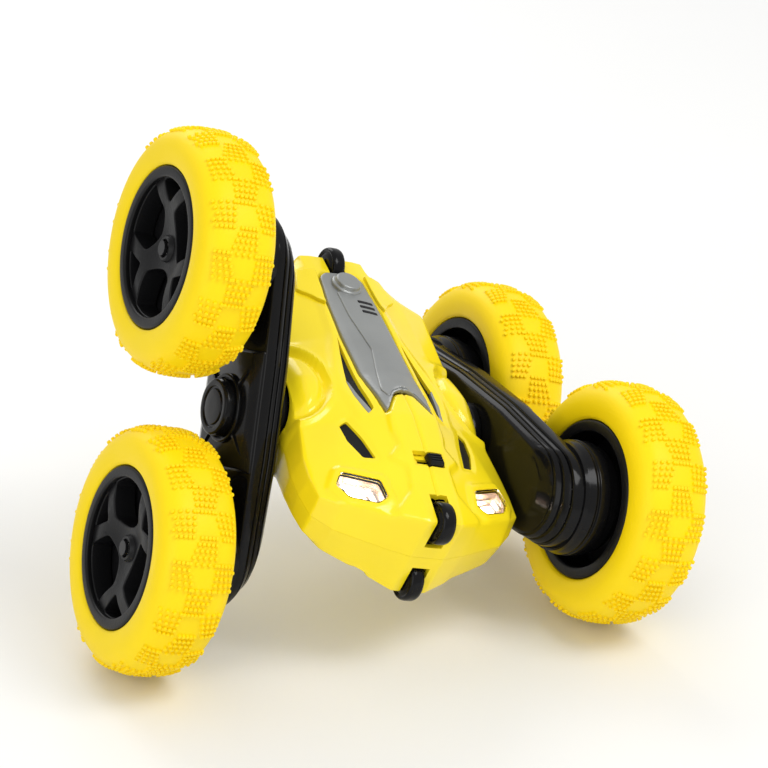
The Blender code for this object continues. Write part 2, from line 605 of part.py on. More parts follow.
def make_cases(side, arm, lean):
    """The two halves of an arm's gear case, the motor and its round cap."""
    inner = x_plate(f"{side}_arm_inner_case", [arm_outline()], lean * ARM_IN, lean * (ARM_SPLIT - GAP / 2),
                    arm, BLACK_GLOSS)
    floor = ARM_IN + CASE_WALL
    room = x_plate(f"{side}_inner_room", [arm_outline(CASE_WALL)], lean * floor, lean * ARM_OUT, arm)
    shape_case(inner, room)
    root = ARM_IN + 0.5          # inside the wall, so that what stands on it is one body with it
    hub = x_rod(f"{side}_hub", HUB_R, lean * HUB_X, lean * root, arm, sides=MEDIUM)
    shape_case(inner, hub, "UNION")
    neck = x_rod(f"{side}_neck", NECK_R, lean * NECK_X, lean * (HUB_X + 0.6), arm, sides=MEDIUM)
    shape_case(inner, neck, "UNION")
    peg_end = STAGE_2["x"][1] + 1.4
    for end, along in ENDS.items():
        peg = x_rod(f"{side}_{end}_peg", PEG_R, lean * root, lean * peg_end, arm, (along * IDLER_Y, 0))
        shape_case(inner, peg, "UNION")
        socket = x_rod(f"{side}_{end}_socket", AXLE_R + GAP, lean * (ARM_IN - 2), lean * (floor + 1), arm,
                       (along * AXLE_SPACING / 2, 0))
        shape_case(inner, socket)
    shape_case(inner, x_rod(f"{side}_wire_way", WIRE_R, lean * (NECK_X - 7), lean * (floor + 1), arm))

    outer = x_plate(f"{side}_arm_outer_case", [arm_outline()], lean * (ARM_SPLIT + GAP / 2), lean * ARM_OUT,
                    arm, BLACK_GLOSS)
    ceiling = ARM_OUT - CASE_WALL
    room = x_plate(f"{side}_outer_room", [arm_outline(CASE_WALL)], lean * ARM_IN, lean * ceiling, arm)
    shape_case(outer, room)
    ring = x_rod(f"{side}_ring", BOSS_R + 1.4, lean * (ceiling + 0.2), lean * COVER_X, arm, sides=MEDIUM)
    shape_case(outer, ring, "UNION")
    cap_hole = x_rod(f"{side}_cap_hole", BOSS_R + GAP, lean * ARM_IN, lean * (COVER_X + 5), arm, sides=MEDIUM)
    shape_case(outer, cap_hole)
    for end, along in ENDS.items():
        centre = (along * AXLE_SPACING / 2, 0)
        cup = x_rod(f"{side}_{end}_cup", CUP_R, lean * CUP_X[0], lean * CUP_X[1], arm, centre,
                    sides=MEDIUM, tip_radius=CUP_TIP_R)
        shape_case(outer, cup, "UNION")
        hole = x_rod(f"{side}_{end}_axle_hole", AXLE_R + GAP, lean * ARM_IN, lean * (CUP_X[1] + 4), arm,
                     centre)
        shape_case(outer, hole)

    cap = x_rod(f"{side}_motor_cap", BOSS_R, lean * (ceiling - 0.6), lean * BOSS_X, arm,
                material=BLACK_GLOSS, sides=MEDIUM)
    cap_room = x_rod(f"{side}_cap_room", MOTOR_R + GAP, lean * ARM_IN, lean * (MOTOR_X[1] + GAP), arm,
                     sides=MEDIUM)
    combine(cap, cap_room)
    motor = x_rod(f"{side}_motor", MOTOR_R, lean * MOTOR_X[0], lean * MOTOR_X[1], arm, material=STEEL,
                  sides=MEDIUM)
    shaft = x_rod(f"{side}_motor_shaft", SHAFT_R, lean * STAGE_1["x"][0], lean * (MOTOR_X[0] + 1), arm)
    combine(motor, shaft, "UNION")

    ring = [(8.3, 0.0), (8.3, -1.9), (2.4, -1.9), (2.4, 0.0)]
    retainer = add(f"{side}_pivot_retainer", turned_mesh(f"{side}_pivot_retainer", ring, closed=True), arm,
                   (lean * 17.0, 0, 0), (0, lean * math.pi / 2, 0), STEEL)
    turn(retainer, MEDIUM)

    spot = CASE_SCREW_SPOT
    x_rod(f"{side}_case_screw", CASE_SCREW_R, lean * ARM_IN, lean * (ARM_IN + 1), arm, spot, STEEL)
    boss = x_rod(f"{side}_screw_boss", CASE_SCREW_R + 1, lean * (ARM_IN + 0.3), lean * (ARM_IN + 1.5), arm,
                 spot)
    shape_case(inner, boss, "UNION")
    recess = x_rod(f"{side}_screw_recess", CASE_SCREW_R + GAP, lean * (ARM_IN - 2), lean * (ARM_IN + 1.2),
                   arm, spot)
    shape_case(inner, recess)


def tyre_profile():
    """Closed section of a tyre: soft round shoulders outside, hollow inside, open at the rim."""
    half = TYRE_W / 2
    outer = [(24.0, half - 0.9), (27.5, half), (32.0, half - 0.9), (35.2, half - 4.2), (TYRE_R, half - 9.5)]
    inner = [(24.0, half - 4.2), (30.5, half - 2.8), (TYRE_R - TYRE_WALL, half - 7.5)]
    down = outer + [(radius, -height) for radius, height in reversed(outer)]
    up = [(radius, -height) for radius, height in inner] + [(r, h) for r, h in reversed(inner)]
    return down + up


def spoke_windows(phase):
    """Windows of the wheel: three wide ones between the forks and three inside them."""
    def polar(radius, degrees):
        angle = phase + math.radians(degrees)
        return (radius * math.cos(angle), radius * math.sin(angle))

    loops = []
    for fork in range(3):
        turn_by = 120 * fork
        wide = [(7.2, 60), (10.8, 17), (20.4, 34), (20.9, 60), (20.4, 86), (10.8, 103)]
        narrow = [(12.6, 0), (20.2, -19), (20.9, 0), (20.2, 19)]
        loops.append([polar(r, a + turn_by) for r, a in wide])
        loops.append([polar(r, a + turn_by) for r, a in narrow])
    return loops


def make_wheel(name, hub, lean, phase, gear_phase):
    """Tyre, rim, geared axle and screw of one wheel; hub is the frame on its axle."""
    facing = (0, lean * math.pi / 2, 0)
    middle = (lean * WHEEL_X, 0, 0)
    tyre = add(f"{name}_tyre", turned_mesh(f"{name}_tyre", tyre_profile(), closed=True), hub, middle, facing,
               YELLOW_TYRE)
    turn(tyre, ROUND)

    band = [(RIM_R, 10.8), (RIM_R, -10.8), (21.8, -10.8), (21.2, 0), (21.8, 10.8)]
    rim = add(f"{name}_rim", turned_mesh(f"{name}_rim", band, closed=True), hub, middle, facing, BLACK_SATIN)
    turn(rim, ROUND)
    disc = [circle(SPOKES_R, ROUND)] + spoke_windows(phase)
    face = x_plate(f"{name}_spokes", disc, lean * SPOKES_X[0], lean * SPOKES_X[1], hub)
    combine(rim, face, "UNION")
    back = x_rod(f"{name}_spoke_back", SPOKES_R, lean * (SPOKES_X[0] - 1.2), lean * (SPOKES_X[0] + 0.2),
                 hub, sides=ROUND)
    combine(rim, back, "UNION")
    combine(rim, x_rod(f"{name}_hub_tube", 4.6, lean * 58.6, lean * 73.9, hub), "UNION")
    combine(rim, x_rod(f"{name}_hub_bore", AXLE_R + GAP, lean * 50, lean * 72.2, hub))
    combine(rim, x_rod(f"{name}_screw_room", 2.6, lean * 71.7, lean * 76, hub))

    gear = x_plate(f"{name}_axle_gear", [gear_outline(AXLE_TEETH, STAGE_2["module"], gear_phase)],
                   lean * STAGE_2["x"][0], lean * STAGE_2["x"][1], hub, NYLON)
    combine(gear, x_rod(f"{name}_axle", AXLE_R, lean * AXLE_X[0], lean * AXLE_X[1], hub), "UNION")
    x_rod(f"{name}_wheel_screw", 2.2, lean * 72.0, lean * 73.0, hub, material=STEEL)


def make_arm(side, stance):
    """One arm with everything on it."""
    lean = SIDES[side]
    arm = empty(f"{side}_arm", stance, rotation=(ARM_SWING[side], 0, 0))
    gear_phases = make_gears(side, arm, lean)
    make_cases(side, arm, lean)
    for end, along in ENDS.items():
        hub = empty(f"{side}_{end}_hub", arm, (0, along * AXLE_SPACING / 2, 0))
        fork = math.radians(FORK_ANGLES[f"{side}_{end}"] - ARM_SWING[side])
        make_wheel(f"{side}_{end}", hub, lean, fork, gear_phases[end])


def three_wheel_roll():
    """Roll of the car when three wheels stand on the floor, in radians."""
    rise = AXLE_SPACING / 2 * math.sin(math.radians(ARM_SWING["left"] - ARM_SWING["right"]))
    return math.atan2(rise, 2 * WHEEL_X)


def stand_on_floor(stance):
    """Move the car so that its box stands centred on the floor."""
    bpy.context.view_layer.update()
    view = bpy.context.evaluated_depsgraph_get()
    corners = []
    for piece in PARTS.objects:
        if piece.type == "MESH":
            mesh = piece.evaluated_get(view).to_mesh()
            corners += [piece.matrix_world @ vertex.co for vertex in mesh.vertices]
    low = [min(corner[axis] for corner in corners) for axis in range(3)]
    high = [max(corner[axis] for corner in corners) for axis in range(3)]
    stance.location = (-(low[0] + high[0]) / 2, -(low[1] + high[1]) / 2, -low[2])


def main():
    """Build the whole car."""
    stance = empty("stance")
    stance.rotation_euler = (0, three_wheel_roll(), 0)
    body = empty("body", stance, rotation=(BODY_PITCH, 0, 0))
    bpy.context.view_layer.update()
    make_body(body)
    for side in SIDES:
        make_arm(side, stance)
    stand_on_floor(stance)


main()
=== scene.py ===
"""Looks of the double-sided stunt car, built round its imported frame.

Every piece is modelled in millimetres in a frame read from the joints, then laid in the car's frame.
In each of these frames X runs across the car to its right, Y to the rear and Z up; the body's
own coordinates are along (towards the nose), across and height.
"""
import json
import math

import bmesh
import bpy
import numpy as np
from mathutils import Matrix, Vector
from mathutils.bvhtree import BVHTree


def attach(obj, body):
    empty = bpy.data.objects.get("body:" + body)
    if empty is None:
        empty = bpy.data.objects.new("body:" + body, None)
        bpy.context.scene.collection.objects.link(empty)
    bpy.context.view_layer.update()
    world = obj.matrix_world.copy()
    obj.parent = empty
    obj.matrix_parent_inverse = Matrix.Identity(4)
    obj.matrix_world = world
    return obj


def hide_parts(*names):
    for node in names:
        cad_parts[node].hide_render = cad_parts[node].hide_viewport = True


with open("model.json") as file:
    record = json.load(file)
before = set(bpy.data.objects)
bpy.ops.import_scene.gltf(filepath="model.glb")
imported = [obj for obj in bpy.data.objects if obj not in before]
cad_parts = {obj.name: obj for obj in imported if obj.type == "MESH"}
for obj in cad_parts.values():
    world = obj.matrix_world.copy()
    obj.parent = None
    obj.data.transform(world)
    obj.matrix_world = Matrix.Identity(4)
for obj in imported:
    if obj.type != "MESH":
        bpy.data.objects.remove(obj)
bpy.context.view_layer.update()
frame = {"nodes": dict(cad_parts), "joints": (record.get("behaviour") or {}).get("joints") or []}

MM = 0.001
GAP = 0.3                         # between neighbouring pieces, mm
SIDES = {"left": -1, "right": 1}
ENDS = ("front", "rear")
SHARP = math.radians(38)          # edges steeper than this stay crisp
SHELL_SHARP = math.radians(24)
PANEL_SHARP = math.radians(30)

# Tyre and rim, mm: x is measured outwards from the wheel's middle, r from its axle
WHEEL_X = 63.95
TYRE_OUTER = [(10.7, 23.8), (11.5, 24.6), (11.95, 28.0), (11.4, 30.7), (10.1, 32.7), (7.8, 34.25),
              (4.0, 35.1), (0.0, 35.25)]
BEAD = [(-10.4, 23.75), (-4.0, 23.75), (4.0, 23.75), (10.4, 23.75)]
TREAD_COLUMNS = {-7.0: -1, 0.0: 1, 7.0: -1}       # each column's middle, and the way its blocks slant
TREAD_REACH = 9.8                 # nubs stay within this of the tyre's middle
BLOCKS = 15                       # tread blocks round the tyre in each column
ROW_SPREAD = (4.6, 5.4, 6.2, 6.9, 7.6)            # widths of a block's five rows of nubs
NUBS_IN_ROW = 5
ROW_PITCH, ROW_SLANT, TREAD_R = 1.85, 0.3, 35.3
NUB_R, NUB_H, NUB_SIDES = 0.62, 0.82, 8
NUB_RINGS = [(-0.45, 1.06), (0.5 * NUB_H, 1.0), (0.86 * NUB_H, 0.86), (NUB_H, 0.55)]
FORK_ANGLES = {"left_rear": 81.0, "left_front": 12.0, "right_rear": 30.0, "right_front": 90.0}
SPOKE_FACE, SPOKE_DEPTH = 9.3, 6.4
SPOKE_DISH = 2.6                  # how much deeper the hub sits than the spokes' ends
SPOKE_CROWN = 0.5
FLANGE = [(8.6, 21.0), (9.2, 20.2), (10.6, 20.1), (11.05, 20.6), (11.05, 22.9), (10.7, 23.5), (9.6, 23.6)]
HUB_TUBE = [(-5.4, 1.9), (-5.4, 4.0), (-4.8, 4.5), (6.3, 4.5), (6.9, 4.1), (7.9, 3.7), (8.2, 3.4),
            (8.2, 2.75), (7.8, 2.5), (7.2, 2.5), (7.2, 1.9)]
RIM_BACK = [(-0.8, 4.2), (1.6, 20.7), (2.5, 20.7), (0.2, 4.2)]

# Arm, mm from the car's middle plane; its levels are (x, half-height, reach)
AXLE_SPACING = 86.0
ARM_IN, ARM_SPLIT, ARM_FACE, COVER_FACE = 34.9, 40.4, 44.4, 46.2
ARM_LEVELS = [(34.85, 14.3, 45.8), (36.6, 15.7, 52.0), (37.0, 15.9, 52.9), (38.4, 16.1, 54.2),
              (38.8, 16.3, 54.9), (40.2, 16.6, 56.9), (40.6, 16.9, 57.4), (43.4, 17.5, 58.4)]
ARM_BEND = 14.0                   # where the arm's edges turn in towards its ends
ARM_WALL = 0.8
ARM_SEAM = 0.15                   # half the gap between the arm's two cases
ARM_GROOVES = (38.6, 36.8)
GROOVE = [(0.4, 0.0), (0.2, 0.2), (0.17, 0.6), (-0.17, 0.6), (-0.2, 0.2), (-0.4, 0.0)]
COVER_REACH, COVER_HALF = 17.6, 17.15
HUB_R = 10.8
PIVOT_DISC = [(29.6, 8.6), (30.6, 9.9), (32.2, HUB_R), (34.6, HUB_R), (35.0, 10.4), (36.4, 10.4)]
NECK = [(17.6, 6.4), (30.2, 6.4)]
CAP_TOP = 50.35
CAP = [(44.2, 8.4), (CAP_TOP - 0.9, 8.4), (CAP_TOP - 0.2, 8.1), (CAP_TOP, 7.5), (CAP_TOP, 6.3),
       (CAP_TOP - 0.15, 6.1), (CAP_TOP - 0.5, 6.0), (CAP_TOP - 0.5, 5.3), (CAP_TOP - 0.15, 5.2),
       (CAP_TOP, 5.0), (CAP_TOP + 0.05, 2.0)]
CUP = [(43.6, 16.1), (44.9, 16.3), (46.8, 17.0), (47.2, 17.0), (47.4, 16.55), (48.1, 16.55), (48.3, 17.1),
       (51.6, 17.1), (51.85, 16.8), (52.0, 16.3), (54.4, 16.2), (55.8, 15.8), (56.8, 15.3), (57.4, 14.6),
       (57.6, 14.0), (57.3, 13.5), (57.3, 3.0)]       # turned section of the cup at an arm's end, (x, r)

# Shell, mm
SEAM = 0.03
SHELL_WALL = 1.5
STATIONS = [
    [(57.6, 0, SEAM), (57.6, 5.5, SEAM), (55.2, 13, SEAM),
     (49.2, 28, SEAM), (44, 33.4, SEAM), (44, 33.4, SEAM)],
    [(57.6, 0, 12.8), (57.6, 5.5, 12.8), (54.2, 13, 11.2),
     (47.6, 27.8, 8.4), (43.4, 33, 6.6), (44, 33.4, SEAM)],
    [(46, 0, 15.0), (45.5, 6, 14.8), (43.5, 13, 13.2),
     (40, 26.8, 10.6), (36, 33.6, 7), (36, 34.4, SEAM)],
    [(34, 0, 18.0), (34, 6, 17.7), (33, 14, 15.4),
     (31, 24.5, 12.2), (28, 33.4, 7.6), (28, 34.2, SEAM)],
    [(20, 0, 20.6), (20, 7.5, 20.2), (19, 14, 17.0),
     (18, 23, 13), (17, 31.6, 9.4), (17, 32.6, SEAM)],
    [(11, 0, 20.8), (11, 7.5, 20.2), (11, 13, 17.6),
     (10, 24, 14.4), (10, 31, 11.8), (10, 32.8, SEAM)],
    [(0, 0, 19.4), (0, 8, 18.8), (0, 13, 17.2),
     (0, 24, 15.2), (0, 31.2, 13.2), (0, 33.2, SEAM)],
    [(-11, 0, 19), (-11, 7.5, 18.8), (-11, 13, 17.2),
     (-10, 24, 14.4), (-10, 31, 11.8), (-10, 32.8, SEAM)],
    [(-18, 0, 19), (-18, 7.5, 18.8), (-18, 13, 17.2),
     (-18, 22.5, 14), (-18, 30.6, 10.5), (-18, 31.6, SEAM)],
    [(-42, 0, 19), (-42, 7.5, 18.9), (-42, 12, 17.8),
     (-42, 20.5, 15.8), (-42, 31.2, 12), (-42, 32.2, SEAM)],
    [(-50, 0, 19), (-50, 7.5, 19), (-50, 11, 18.6),
     (-49.6, 17.2, 15.8), (-49, 22.4, 11.5), (-49, 23.4, SEAM)],
    [(-56.2, 0, 18.9), (-56.2, 7.5, 18.9), (-56.2, 10.8, 18.5),
     (-56.2, 12.4, 14), (-56.2, 13, 9), (-56.2, 13.2, SEAM)],
    [(-56.2, 0, SEAM), (-56.2, 7.5, SEAM), (-56.2, 10.8, SEAM),
     (-56.2, 12.4, SEAM), (-56.2, 13, SEAM), (-56.2, 13.2, SEAM)],
]
HALVES = {"top": 1, "bottom": -1}
ROLLERS = {"nose": (54.8, 11.0), "tail": (-53.9, 16.9)}       # (along, height)
ROLLER_R = 6.2
SLOT_HALF = 2.9
NOSE_SLOT, TAIL_SLOT = (47.8, 62), (-62, -47.0)    # along
TALL = 40                         # higher than any part of the body

# Linings of the roller slots: the floor's and the wall's span along the body, and the floor's height
SLOT_LININGS = {"nose": ((47.0, 55.6), (47.0, 47.9), 3.0), "tail": ((-55.0, -46.4), (-47.0, -46.2), 9.2)}

# Plan outlines on the body's right side: (across, along)
HEADLIGHT = [(15.5, 41.6), (26.4, 37.2), (28.6, 41.5), (26.0, 46.2), (18.0, 49.4), (14.6, 47.6)]
HOOD_VENT = [(18.8, 18.0), (21.2, 19.2), (20.7, 25.6), (18.2, 32.6), (14.7, 33.6), (16.4, 25.5)]
SIDE_VENT = [(11.0, -17.3), (13.0, -6.0), (14.6, 3.2), (14.4, 9.3), (12.6, 17.2), (10.6, 15.4),
             (11.2, 5.0), (11.2, -5.0)]
SIDE_TRIM = [(14.6, 2.2), (14.4, 9.3), (12.6, 17.2), (11.5, 16.2), (13.1, 9.0), (13.9, 3.4)]
SPINE = [(5.4, -47.4), (7.4, -45.4), (8.6, -34.0), (9.1, -18.0), (9.1, 0.0), (7.6, 18.0),
         (5.4, 14.0), (3.4, 10.6)]
FIELD = [(7.6, -38.0), (8.2, -32.0), (8.7, -18.0), (8.7, 0.0), (7.4, 16.6), (5.6, 12.8), (3.3, 9.3),
         (0.0, 8.5), (-3.3, 9.3), (-5.3, 12.4), (-6.8, 9.0), (-2.4, -11.0), (-4.4, -26.0), (-4.6, -38.0)]
EAR = [(8.6, -48.2), (14.8, -48.2), (17.0, -39.1), (13.2, -36.0), (10.2, -31.6), (9.3, -38.0)]
HOOD = [(0, 7), (3.2, 10.2), (5.4, 13.6), (8.6, 20), (9.0, 26), (7.8, 30), (11.8, 34.4), (7.2, 38.4),
        (8.1, 46), (13.6, 51.9), (13.2, 60), (0, 60)]
FLANK = [(10.6, -32.3), (11.6, -19.5), (15.9, -4.0), (16.8, 5.0), (14.8, 17.0)]
DOOR = [(12.4, -28.0), (12.4, 17.0)]
SWITCH_SPOT = (2.6, 35.7)
NOTCH = (0.0, 9.8)                # point between the spine panel's two prongs
SWITCH_WINDOW = ((-4.7, 5.2), (33.2, 38.2))       # spans across and along
PAD = ((-9, 9), (-3, -21))
SCREW_SPOTS = [(-36, 17), (-36, -17), (26, 5), (26, -5)]        # (along, across)
SCREW_HOLE_R = 2.6

# Relief of the shells, mm
PIVOT_RING = (30.5, -1.0, 1.4)    # the ring's middle (across, along), and how much it is squeezed across
RING_GROOVE = (-1.7, 13.4, 1.5)   # height, radius, width
RING_LIP = (0.7, 16.4, 1.1)
BARREL_R = 11.6

# How each ring of the stepped reflector lies: (size, share of the depth, distance below the bright face)
REFLECTOR_STEPS = [(0.05, 1.0, 0.7), (0.5, 1.0, 0.7), (0.8, 0.6, 0.7), (1.0, 0.0, 0.6), (1.0, 0.0, 0.0),
                   (0.95, 0.3, 0.0), (0.8, 0.36, 0.0), (0.76, 0.62, 0.0), (0.62, 0.68, 0.0),
                   (0.57, 0.96, 0.0), (0.4, 1.0, 0.0), (0.05, 1.0, 0.0)]
LAMP_MIDDLE = (21.6, 43.2)
BULB = [(-0.4, 2.2), (1.0, 2.2), (1.9, 1.9), (2.5, 1.2), (2.7, 0.4)]        # (height, radius)
BOSS = [(18.4, 4.9), (20.4, 4.9), (20.8, 4.4), (20.8, 4.15), (21.8, 3.95), (22.1, 3.5), (22.1, 0.6)]
BOSS_Y = 41.5
PANEL_HALF = 9.1                  # half the spine panel's width
PAD_HEIGHT = 18.8


# ---------------------------------------------------------------- frames

def joint_place(name):
    """A joint's point, metres."""
    return next(Vector(joint["pos_m"]) for joint in frame["joints"] if joint["name"] == name)


SWING = next(joint for joint in frame["joints"] if joint["name"] == "left_arm_swing")
ACROSS = Vector(SWING["axis"]).normalized()
PIVOT = joint_place("left_arm_swing")


def frame_of(origin, rearward):
    """Millimetre frame with X across the car and Y along a rearward direction."""
    back = (rearward - ACROSS * rearward.dot(ACROSS)).normalized()
    up = ACROSS.cross(back)
    turned_frame = Matrix((ACROSS, back, up)).transposed().to_4x4()
    return Matrix.Translation(origin) @ turned_frame @ Matrix.Scale(MM, 4)


def middle(place):
    """Midpoint of the two rollers at one end of the body."""
    return (joint_place(f"{place}_top_roller_spin") + joint_place(f"{place}_bottom_roller_spin")) / 2


BODY = frame_of(PIVOT, middle("tail") - middle("nose"))
ARM_BACK = {side: joint_place(f"{side}_rear_wheel_spin") - joint_place(f"{side}_front_wheel_spin")
            for side in SIDES}
ARM = {side: frame_of(PIVOT, ARM_BACK[side]) for side in SIDES}
HUB = {f"{side}_{end}": frame_of(joint_place(f"{side}_{end}_wheel_spin"), ARM_BACK["right"])
       for side in SIDES for end in ENDS}


# ---------------------------------------------------------------- materials

def moulded(name, color, roughness, metallic=0.0, tint=0.05, tint_scale=60.0, grain=900.0, bump=0.04,
            coat=0.0, specular=0.5, rough_swing=0.05):
    """Moulded plastic or metal: slow colour drift, uneven polish and a fine surface grain."""
    made = bpy.data.materials.new(name)
    made.use_nodes = True
    nodes, links = made.node_tree.nodes, made.node_tree.links
    shader = nodes["Principled BSDF"]
    shader.inputs["Metallic"].default_value = metallic
    shader.inputs["Coat Weight"].default_value = coat
    shader.inputs["Coat Roughness"].default_value = 0.08
    shader.inputs["Specular IOR Level"].default_value = specular
    place = nodes.new("ShaderNodeTexCoord")

    drift = nodes.new("ShaderNodeTexNoise")
    drift.inputs["Scale"].default_value = tint_scale
    drift.inputs["Detail"].default_value = 4.0
    links.new(place.outputs["Object"], drift.inputs["Vector"])
    ramp = nodes.new("ShaderNodeValToRGB")
    ramp.color_ramp.elements[0].position = 0.3
    ramp.color_ramp.elements[1].position = 0.7
    ramp.color_ramp.elements[0].color = (*[c * (1 - tint) for c in color], 1)
    ramp.color_ramp.elements[1].color = (*[min(c * (1 + tint), 1.0) for c in color], 1)
    links.new(drift.outputs["Fac"], ramp.inputs["Fac"])
    links.new(ramp.outputs["Color"], shader.inputs["Base Color"])

    polish = nodes.new("ShaderNodeTexNoise")
    polish.inputs["Scale"].default_value = tint_scale * 2.3
    polish.inputs["Detail"].default_value = 5.0
    links.new(place.outputs["Object"], polish.inputs["Vector"])
    spread = nodes.new("ShaderNodeMapRange")
    spread.inputs["To Min"].default_value = max(roughness - rough_swing, 0.02)
    spread.inputs["To Max"].default_value = roughness + rough_swing
    links.new(polish.outputs["Fac"], spread.inputs["Value"])
    links.new(spread.outputs["Result"], shader.inputs["Roughness"])

    texture = nodes.new("ShaderNodeTexNoise")
    texture.inputs["Scale"].default_value = grain
    texture.inputs["Detail"].default_value = 3.0
    links.new(place.outputs["Object"], texture.inputs["Vector"])
    relief_node = nodes.new("ShaderNodeBump")
    relief_node.inputs["Strength"].default_value = bump
    relief_node.inputs["Distance"].default_value = 0.0004
    links.new(texture.outputs["Fac"], relief_node.inputs["Height"])
    links.new(relief_node.outputs["Normal"], shader.inputs["Normal"])
    return made


def shader_of(material):
    """The Principled shader of a material."""
    return material.node_tree.nodes["Principled BSDF"]


YELLOW_SHELL = moulded("yellow_shell_gloss", (0.95, 0.74, 0.012), 0.2, tint=0.025, bump=0.03, coat=0.15,
                       specular=0.4)
YELLOW_TYRE = moulded("yellow_tyre_rubber", (0.96, 0.7, 0.001), 0.5, tint=0.02, grain=1400, bump=0.12,
                      specular=0.25)
BLACK_GLOSS = moulded("black_gloss_plastic", (0.005, 0.005, 0.0054), 0.15, tint=0.15, bump=0.05,
                      specular=0.16)
BLACK_SATIN = moulded("black_satin_plastic", (0.007, 0.007, 0.0076), 0.36, tint=0.12, grain=1300, bump=0.14,
                      specular=0.18)
GREY_SATIN = moulded("silver_grey_plastic", (0.3, 0.31, 0.305), 0.36, 0.45, tint=0.06, grain=1600, bump=0.1)
DARK_STEEL = moulded("black_oxide_steel", (0.03, 0.03, 0.032), 0.35, 0.8, tint=0.15, bump=0.08)
STEEL = moulded("plated_steel", (0.62, 0.61, 0.6), 0.26, 1.0, tint=0.08, bump=0.08)
NYLON = moulded("natural_nylon", (0.84, 0.82, 0.76), 0.45, tint=0.04)
WRAP = moulded("battery_film", (0.05, 0.16, 0.45), 0.3, tint=0.1)
BOARD = moulded("green_solder_mask", (0.02, 0.16, 0.06), 0.35, tint=0.3, tint_scale=300)
# Reflector metal; the faint emission set below is a painted glow of the bulb's light on it
REFLECTOR_PAINTED_GLOW = moulded("reflector_painted_glow", (0.8, 0.66, 0.57), 0.2, 0.75, tint=0.08, tint_scale=400, bump=0.05)
LED = moulded("white_led", (0.95, 0.95, 0.92), 0.2, tint=0.02)
LIT = moulded("lit_led", (1.0, 0.97, 0.9), 0.3, tint=0.02)
# The bulb is a lamp and glows; the reflector's faint warm glow is painted light from the bulb
for glowing, glow, strength in ((LIT, (1.0, 0.93, 0.8, 1), 13.0), (REFLECTOR_PAINTED_GLOW, (1.0, 0.9, 0.76, 1), 0.05)):
    shader_of(glowing).inputs["Emission Color"].default_value = glow
    shader_of(glowing).inputs["Emission Strength"].default_value = strength
CLEAR = moulded("clear_lens_plastic", (0.97, 0.98, 1.0), 0.07, tint=0.01, bump=0.05, rough_swing=0.03)
shader_of(CLEAR).inputs["Transmission Weight"].default_value = 1.0
shader_of(CLEAR).inputs["IOR"].default_value = 1.46

CAD_LOOKS = {
    "motor_pinion": NYLON, "compound_gear": NYLON, "axle_gear": NYLON, "battery_pack": WRAP,
    "circuit_board": BOARD, "led_board": LED, "mid_frame": BLACK_SATIN, "vent_liner": BLACK_SATIN,
    "switch_housing": BLACK_SATIN, "wheel_screw": DARK_STEEL, "screw": STEEL, "motor": STEEL,
    "retainer": STEEL,
}


# ---------------------------------------------------------------- mesh tools, mm

def loft(rings, wrap=False):
    """Quads between rings of equal length, with flat ends or joined end to end."""
    rings = np.asarray(rings, float)
    count, size = rings.shape[:2]
    faces = []
    for row in range(count if wrap else count - 1):
        after = (row + 1) % count
        for k in range(size):
            nxt = (k + 1) % size
            faces.append((row * size + k, row * size + nxt, after * size + nxt, after * size + k))
    if not wrap:
        faces.append(tuple(range(size))[::-1])
        faces.append(tuple(range((count - 1) * size, count * size)))
    return rings.reshape(-1, 3), faces


def turned(profile, sides=64, wrap=False, centre=(0.0, 0.0)):
    """A profile of (x, radius) turned about a line parallel to X, at (y, z)."""
    steps = np.arange(sides) * 2 * math.pi / sides
    rings = [[(x, centre[0] + r * math.cos(a), centre[1] + r * math.sin(a)) for a in steps]
             for x, r in profile]
    return loft(rings, wrap)


def stood(profile, sides, centre=(0.0, 0.0)):
    """A profile of (height, radius) turned about an upright line at (x, y)."""
    points, faces = turned(profile, sides, centre=centre)
    return points[:, [1, 2, 0]], faces


def softened(points, radius, steps=3, closed=False):
    """A polyline with every corner rounded off by a short curve."""
    points = [Vector(point) for point in points]
    made = []
    last = len(points) - 1
    for index, here in enumerate(points):
        if not closed and index in (0, last):
            made.append(tuple(here))
            continue
        before, after = points[index - 1], points[(index + 1) % len(points)]
        reach = min(radius, (here - before).length * 0.45, (after - here).length * 0.45)
        start = here + (before - here).normalized() * reach
        end = here + (after - here).normalized() * reach
        for step in range(steps + 1):
            t = step / steps
            made.append(tuple(start * (1 - t) ** 2 + here * 2 * t * (1 - t) + end * t * t))
    return made


def chaikin(points, times=3):
    """A smooth open curve from its control points."""
    points = np.asarray(points, float)
    for _ in range(times):
        near = points[:-1] * 0.75 + points[1:] * 0.25
        far = points[:-1] * 0.25 + points[1:] * 0.75
        inner = np.stack([near, far], 1).reshape(-1, points.shape[1])
        points = np.vstack([points[:1], inner, points[-1:]])
    return points


def inset(outline, distance):
    """An outline moved inwards by a distance, corner by corner."""
    ring = np.asarray(outline, float)
    before, after = np.roll(ring, 1, 0), np.roll(ring, -1, 0)
    area = np.sum(ring[:, 0] * after[:, 1] - after[:, 0] * ring[:, 1])
    sign = 1 if area > 0 else -1
    into = ring - before
    into /= np.linalg.norm(into, axis=1)[:, None]
    away = after - ring
    away /= np.linalg.norm(away, axis=1)[:, None]
    normal_1 = np.stack([-into[:, 1], into[:, 0]], 1) * sign
    normal_2 = np.stack([-away[:, 1], away[:, 0]], 1) * sign
    scale = 1 + np.sum(normal_1 * normal_2, 1)
    return [tuple(point) for point in ring + (normal_1 + normal_2) / scale[:, None] * distance]


def mirrored(outline):
    """The left copy of a right-hand plan outline."""
    return [(-x, y) for x, y in reversed(outline)]


def sided(outline, lean):
    """A right-hand plan outline, laid on the side that lean names."""
    return outline if lean > 0 else mirrored(outline)


def plan(outline):
    """(across, along) to the body's X and Y."""
    return [(across, -along) for across, along in outline]


def rectangle(x, along):
    """A rectangle's loop in the body's X and Y from its two spans."""
    return plan([(x[0], along[0]), (x[1], along[0]), (x[1], along[1]), (x[0], along[1])])


